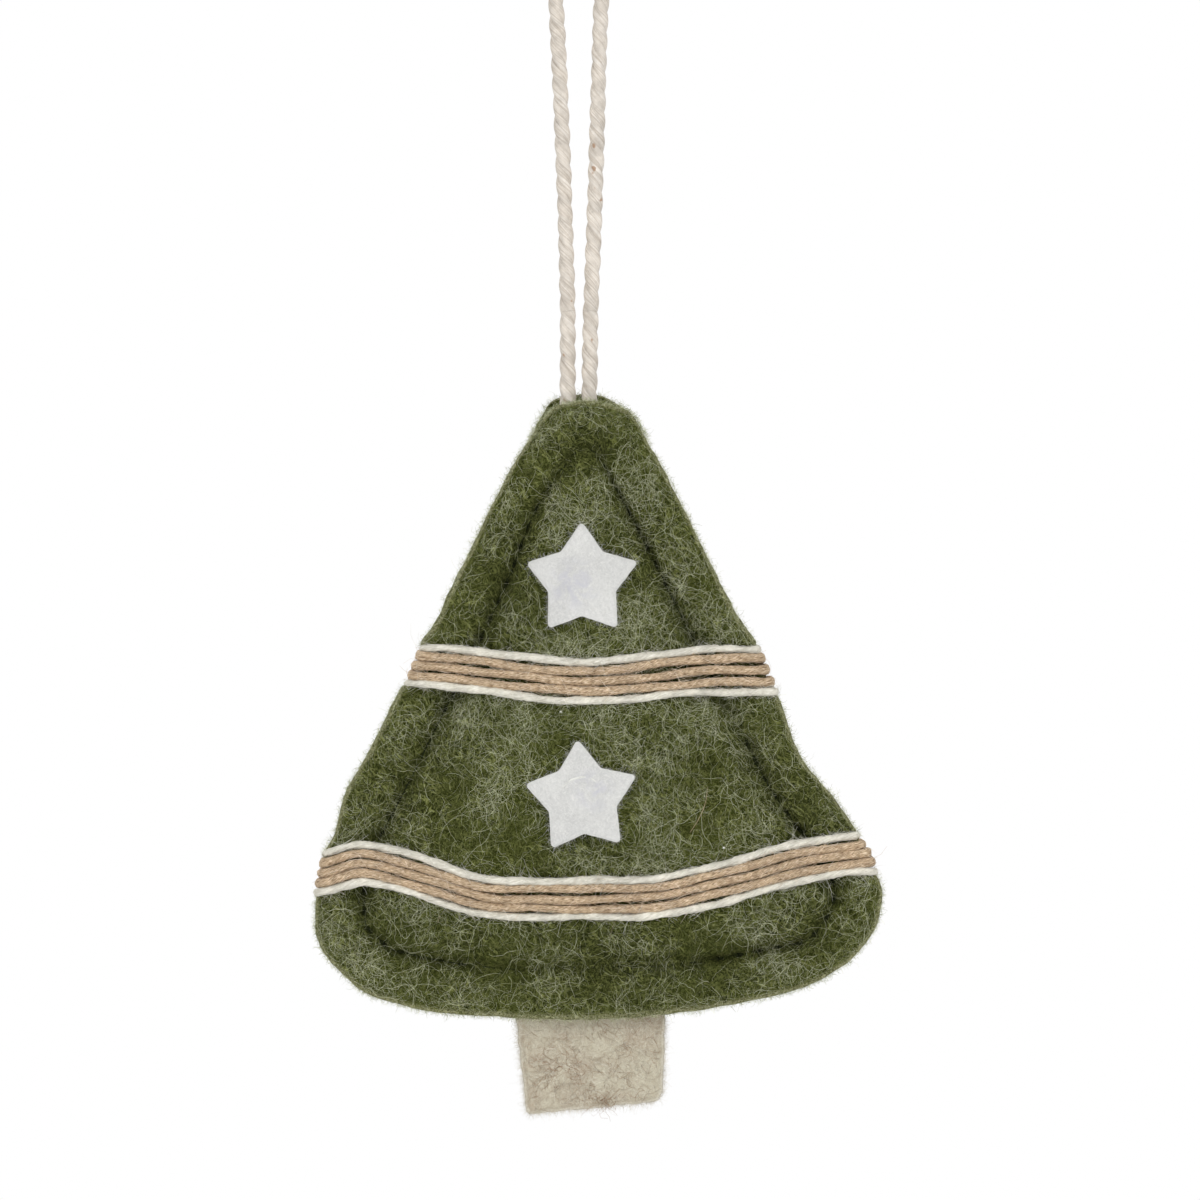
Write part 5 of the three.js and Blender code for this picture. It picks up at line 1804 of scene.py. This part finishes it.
band_pieces = {}
jute_lines = []
yarn_lines = []
last_turn = (JUTE_TURNS - 1) / 2
outermost = last_turn + YARN_SPACING / STRAND_PITCH
for number, band in enumerate(BANDS):
    jute, jute_line = strand_piece(
        f"{band}_band_jute",
        winding_route(band, -last_turn, JUTE_TURNS, JUTE_ROUTE_DIAMETER),
        JUTE_DIAMETER,
        JUTE,
        lay=22.0,
        rough=0.05,
        spreading=0.42,
        seed=70 + number,
        sides=20,
    )
    band_pieces[f"{band}_band_jute_twine"] = jute
    jute_lines.append((jute_line, JUTE_DIAMETER))
    for place, pitch in (("top", -outermost), ("bottom", outermost)):
        yarn, yarn_line = strand_piece(
            f"{band}_band_{place}_white",
            winding_route(band, pitch, 1, YARN_DIAMETER),
            YARN_DIAMETER,
            YARN,
            lay=20.0,
            rough=0.09,
            spreading=0.1,
            seed=80 + number + len(place),
            sides=14,
        )
        band_pieces[f"{band}_band_{place}_yarn"] = yarn
        yarn_lines.append((yarn_line, YARN_DIAMETER))

# Fibres of the felts: name, side, seed, count, how much they keep to the frost, length, radius, lift, tone
# with its spread, and points along each.
PALE = (0.82, 0.16)
MILD = (0.5, 0.2)
THIN = (0.008, 0.024)
THICK = (0.009, 0.021)
FELT_FIBRES = [
    ("front_pale_fibres", "front", 101, 4500, 1.3, (3, 8), THIN, 0.24, PALE, 7),
    ("front_fine_fibres", "front", 117, 4500, 1.1, (3, 8), THIN, 0.2, PALE, 7),
    ("front_mild_fibres", "front", 102, 4800, 0.3, (2, 6), THICK, 0.14, MILD, 6),
    ("back_pale_fibres", "back", 103, 2100, 1.3, (3, 8), THIN, 0.24, PALE, 8),
    ("back_mild_fibres", "back", 108, 4200, 0.3, (1.5, 5), THICK, 0.14, MILD, 5),
]

# Fibres of the strands: name, strands, seed, count, length, radius, slant, lift, tone with its spread,
# material and points along each.
STRAND_FIBRES = [
    ("jute_fibres", jute_lines, 105, 7000, (0.5, 2), (0.018, 0.04), 0.7, 0.18, (0.55, 0.35), JUTE_FIBRE, 4),
    ("jute_hairs", jute_lines, 115, 2500, (1.2, 4), (0.016, 0.03), 1.7, 0.8, (0.8, 0.18), JUTE_FIBRE, 5),
    ("yarn_fibres", yarn_lines, 106, 4600, (0.5, 1.8), (0.014, 0.03), 0.9, 0.3, (0.5, 0.35), YARN_FIBRE, 4),
    ("yarn_hairs", yarn_lines, 116, 2300, (0.8, 2.6), (0.013, 0.024), 1.7, 0.85, (0.75, 0.2), YARN_FIBRE, 5),
]

fuzz = [felt_fibres(*row) for row in FELT_FIBRES]
fuzz.append(rim_fibres("front_rim_fibres", "front", 118, 3600))
fuzz.append(edge_fibres("front_edge_fuzz", "front", 104, 8600))
fuzz.append(edge_fibres("back_edge_fuzz", "back", 114, 4200))
fuzz.append(
    slab_fibres(
        "oat_fuzz",
        trunk_outline,
        trunk_faces,
        OAT_FIBRE,
        seed=109,
        count=1500,
        fuzz_count=3200,
        below=HEM,
        depth=1.0,
        length=(1, 3.5),
        tones=(0.52, 0.28),
        tufts=TUFTS,
    )
)
for star in STARS:
    fuzz.append(
        slab_fibres(
            f"star_fuzz_{star}",
            star_outline(star),
            star_faces(star),
            WHITE_FIBRE,
            seed=110,
            count=40,
            fuzz_count=700,
            below=1e9,
            depth=0.5,
            length=(0.5, 1.2),
            tones=(0.5, 0.2),
        )
    )
fuzz.append(laid_fibres("jute_stray", STRAY_HAIR, 0.045, 0.5, JUTE_FIBRE))
# plain white dots for the glitter: a painted glint
fuzz.append(laid_fibres("glint_specks", GLINT_SPECKS, 0.2, 1.0, WHITE_FIBRE))
fuzz += [strand_fibres(*row) for row in STRAND_FIBRES]


# Light and stage: a white surround, a large soft lamp from above on the right, a weaker one on the left, one
# from behind and a small one low down.


def soft_lamp(name, place, aim, size, energy):
    """A square soft lamp turned towards a point."""
    lamp = bpy.data.objects.new(name, bpy.data.lights.new(name, "AREA"))
    lamp.data.shape = "SQUARE"
    lamp.data.size = size
    lamp.data.energy = energy
    bpy.context.scene.collection.objects.link(lamp)
    back = np.array(place) - np.array(aim)
    flat = math.hypot(back[0], back[1])
    lamp.location = place
    lamp.rotation_euler = (math.atan2(flat, back[2]), 0, math.atan2(back[0], -back[1]))
    return lamp


AIM = (0.0, 0.0, -0.12)
soft_lamp("key_lamp", (0.55, -0.8, 0.65), AIM, 0.7, 6.4)
soft_lamp("fill_lamp", (-0.8, -0.7, 0.1), AIM, 0.8, 3.0)
soft_lamp("back_lamp", (-0.3, 0.9, 0.5), AIM, 0.8, 7.5)
soft_lamp("low_lamp", (0.05, -0.55, -0.36), AIM, 0.4, 1.0).visible_camera = False

world = bpy.data.worlds.new("white_surround")
bpy.context.scene.world = world
world.use_nodes = True
surround = world.node_tree
surround.nodes.clear()
seen = add_node(surround, "ShaderNodeBackground", {"Color": (1, 1, 1, 1), "Strength": 1.0})
lit = add_node(surround, "ShaderNodeBackground", {"Color": (1, 1, 1, 1), "Strength": 0.58})
camera_ray = surround.nodes.new("ShaderNodeLightPath").outputs["Is Camera Ray"]
which = add_node(surround, "ShaderNodeMixShader", {0: camera_ray, 1: lit.outputs[0], 2: seen.outputs[0]})
add_node(surround, "ShaderNodeOutputWorld", {"Surface": which.outputs[0]})

FLOOR_HEIGHT = -0.4
FLOOR_CORNERS = 96
corner = np.arange(FLOOR_CORNERS)
floor_angle = corner / FLOOR_CORNERS * 2 * np.pi
floor_ring = np.stack([np.cos(floor_angle), np.sin(floor_angle), np.zeros(FLOOR_CORNERS)], -1)
floor_points = np.vstack([floor_ring * 1.5, floor_ring * 0.75]) + [0, 0, FLOOR_HEIGHT]
middle_corner = np.full(FLOOR_CORNERS, 2 * FLOOR_CORNERS)
floor_material, _, floor_shader = new_material("pale_floor", 0.9)
floor_shader.inputs["Base Color"].default_value = (0.85, 0.85, 0.85, 1)
floor = new_mesh(
    "floor",
    np.vstack([floor_points, [[0, 0, FLOOR_HEIGHT]]]),
    ring_quads(2, FLOOR_CORNERS)[:, ::-1],
    np.stack([middle_corner, FLOOR_CORNERS + corner, FLOOR_CORNERS + (corner + 1) % FLOOR_CORNERS], -1),
    floor_material,
)

view = bpy.context.scene.view_settings
view.view_transform = "Standard"
view.look = "None"


# Bodies and replaced nodes.

for side in FRONT:
    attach(felts[side], "tree")
    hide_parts(f"{side}_felt_panel")
    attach(stitches[side], "tree")
    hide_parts(f"seam_thread_{side}")

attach(stuffing, "tree")
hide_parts("fibrefill_stuffing")

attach(trunk, "tree")
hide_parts("trunk_felt")

glue = glue_material()
for star, piece in stars.items():
    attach(piece, "tree")
    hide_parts(f"star_{star}")
    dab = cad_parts[f"glue_dab_{star}"].data
    dab.materials.clear()
    dab.materials.append(glue)

for node, piece in band_pieces.items():
    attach(piece, "tree")
    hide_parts(node)

for piece in fuzz:
    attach(piece, "tree")

loop = cord_pieces["hanging_loop_cord"]
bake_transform(loop)
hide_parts("hanging_cord")
for side in ("left", "right"):
    leg = cord_pieces[f"cord_leg_{side}"]
    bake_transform(leg)
    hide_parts(f"cord_root_{side}", f"cord_tail_{side}")
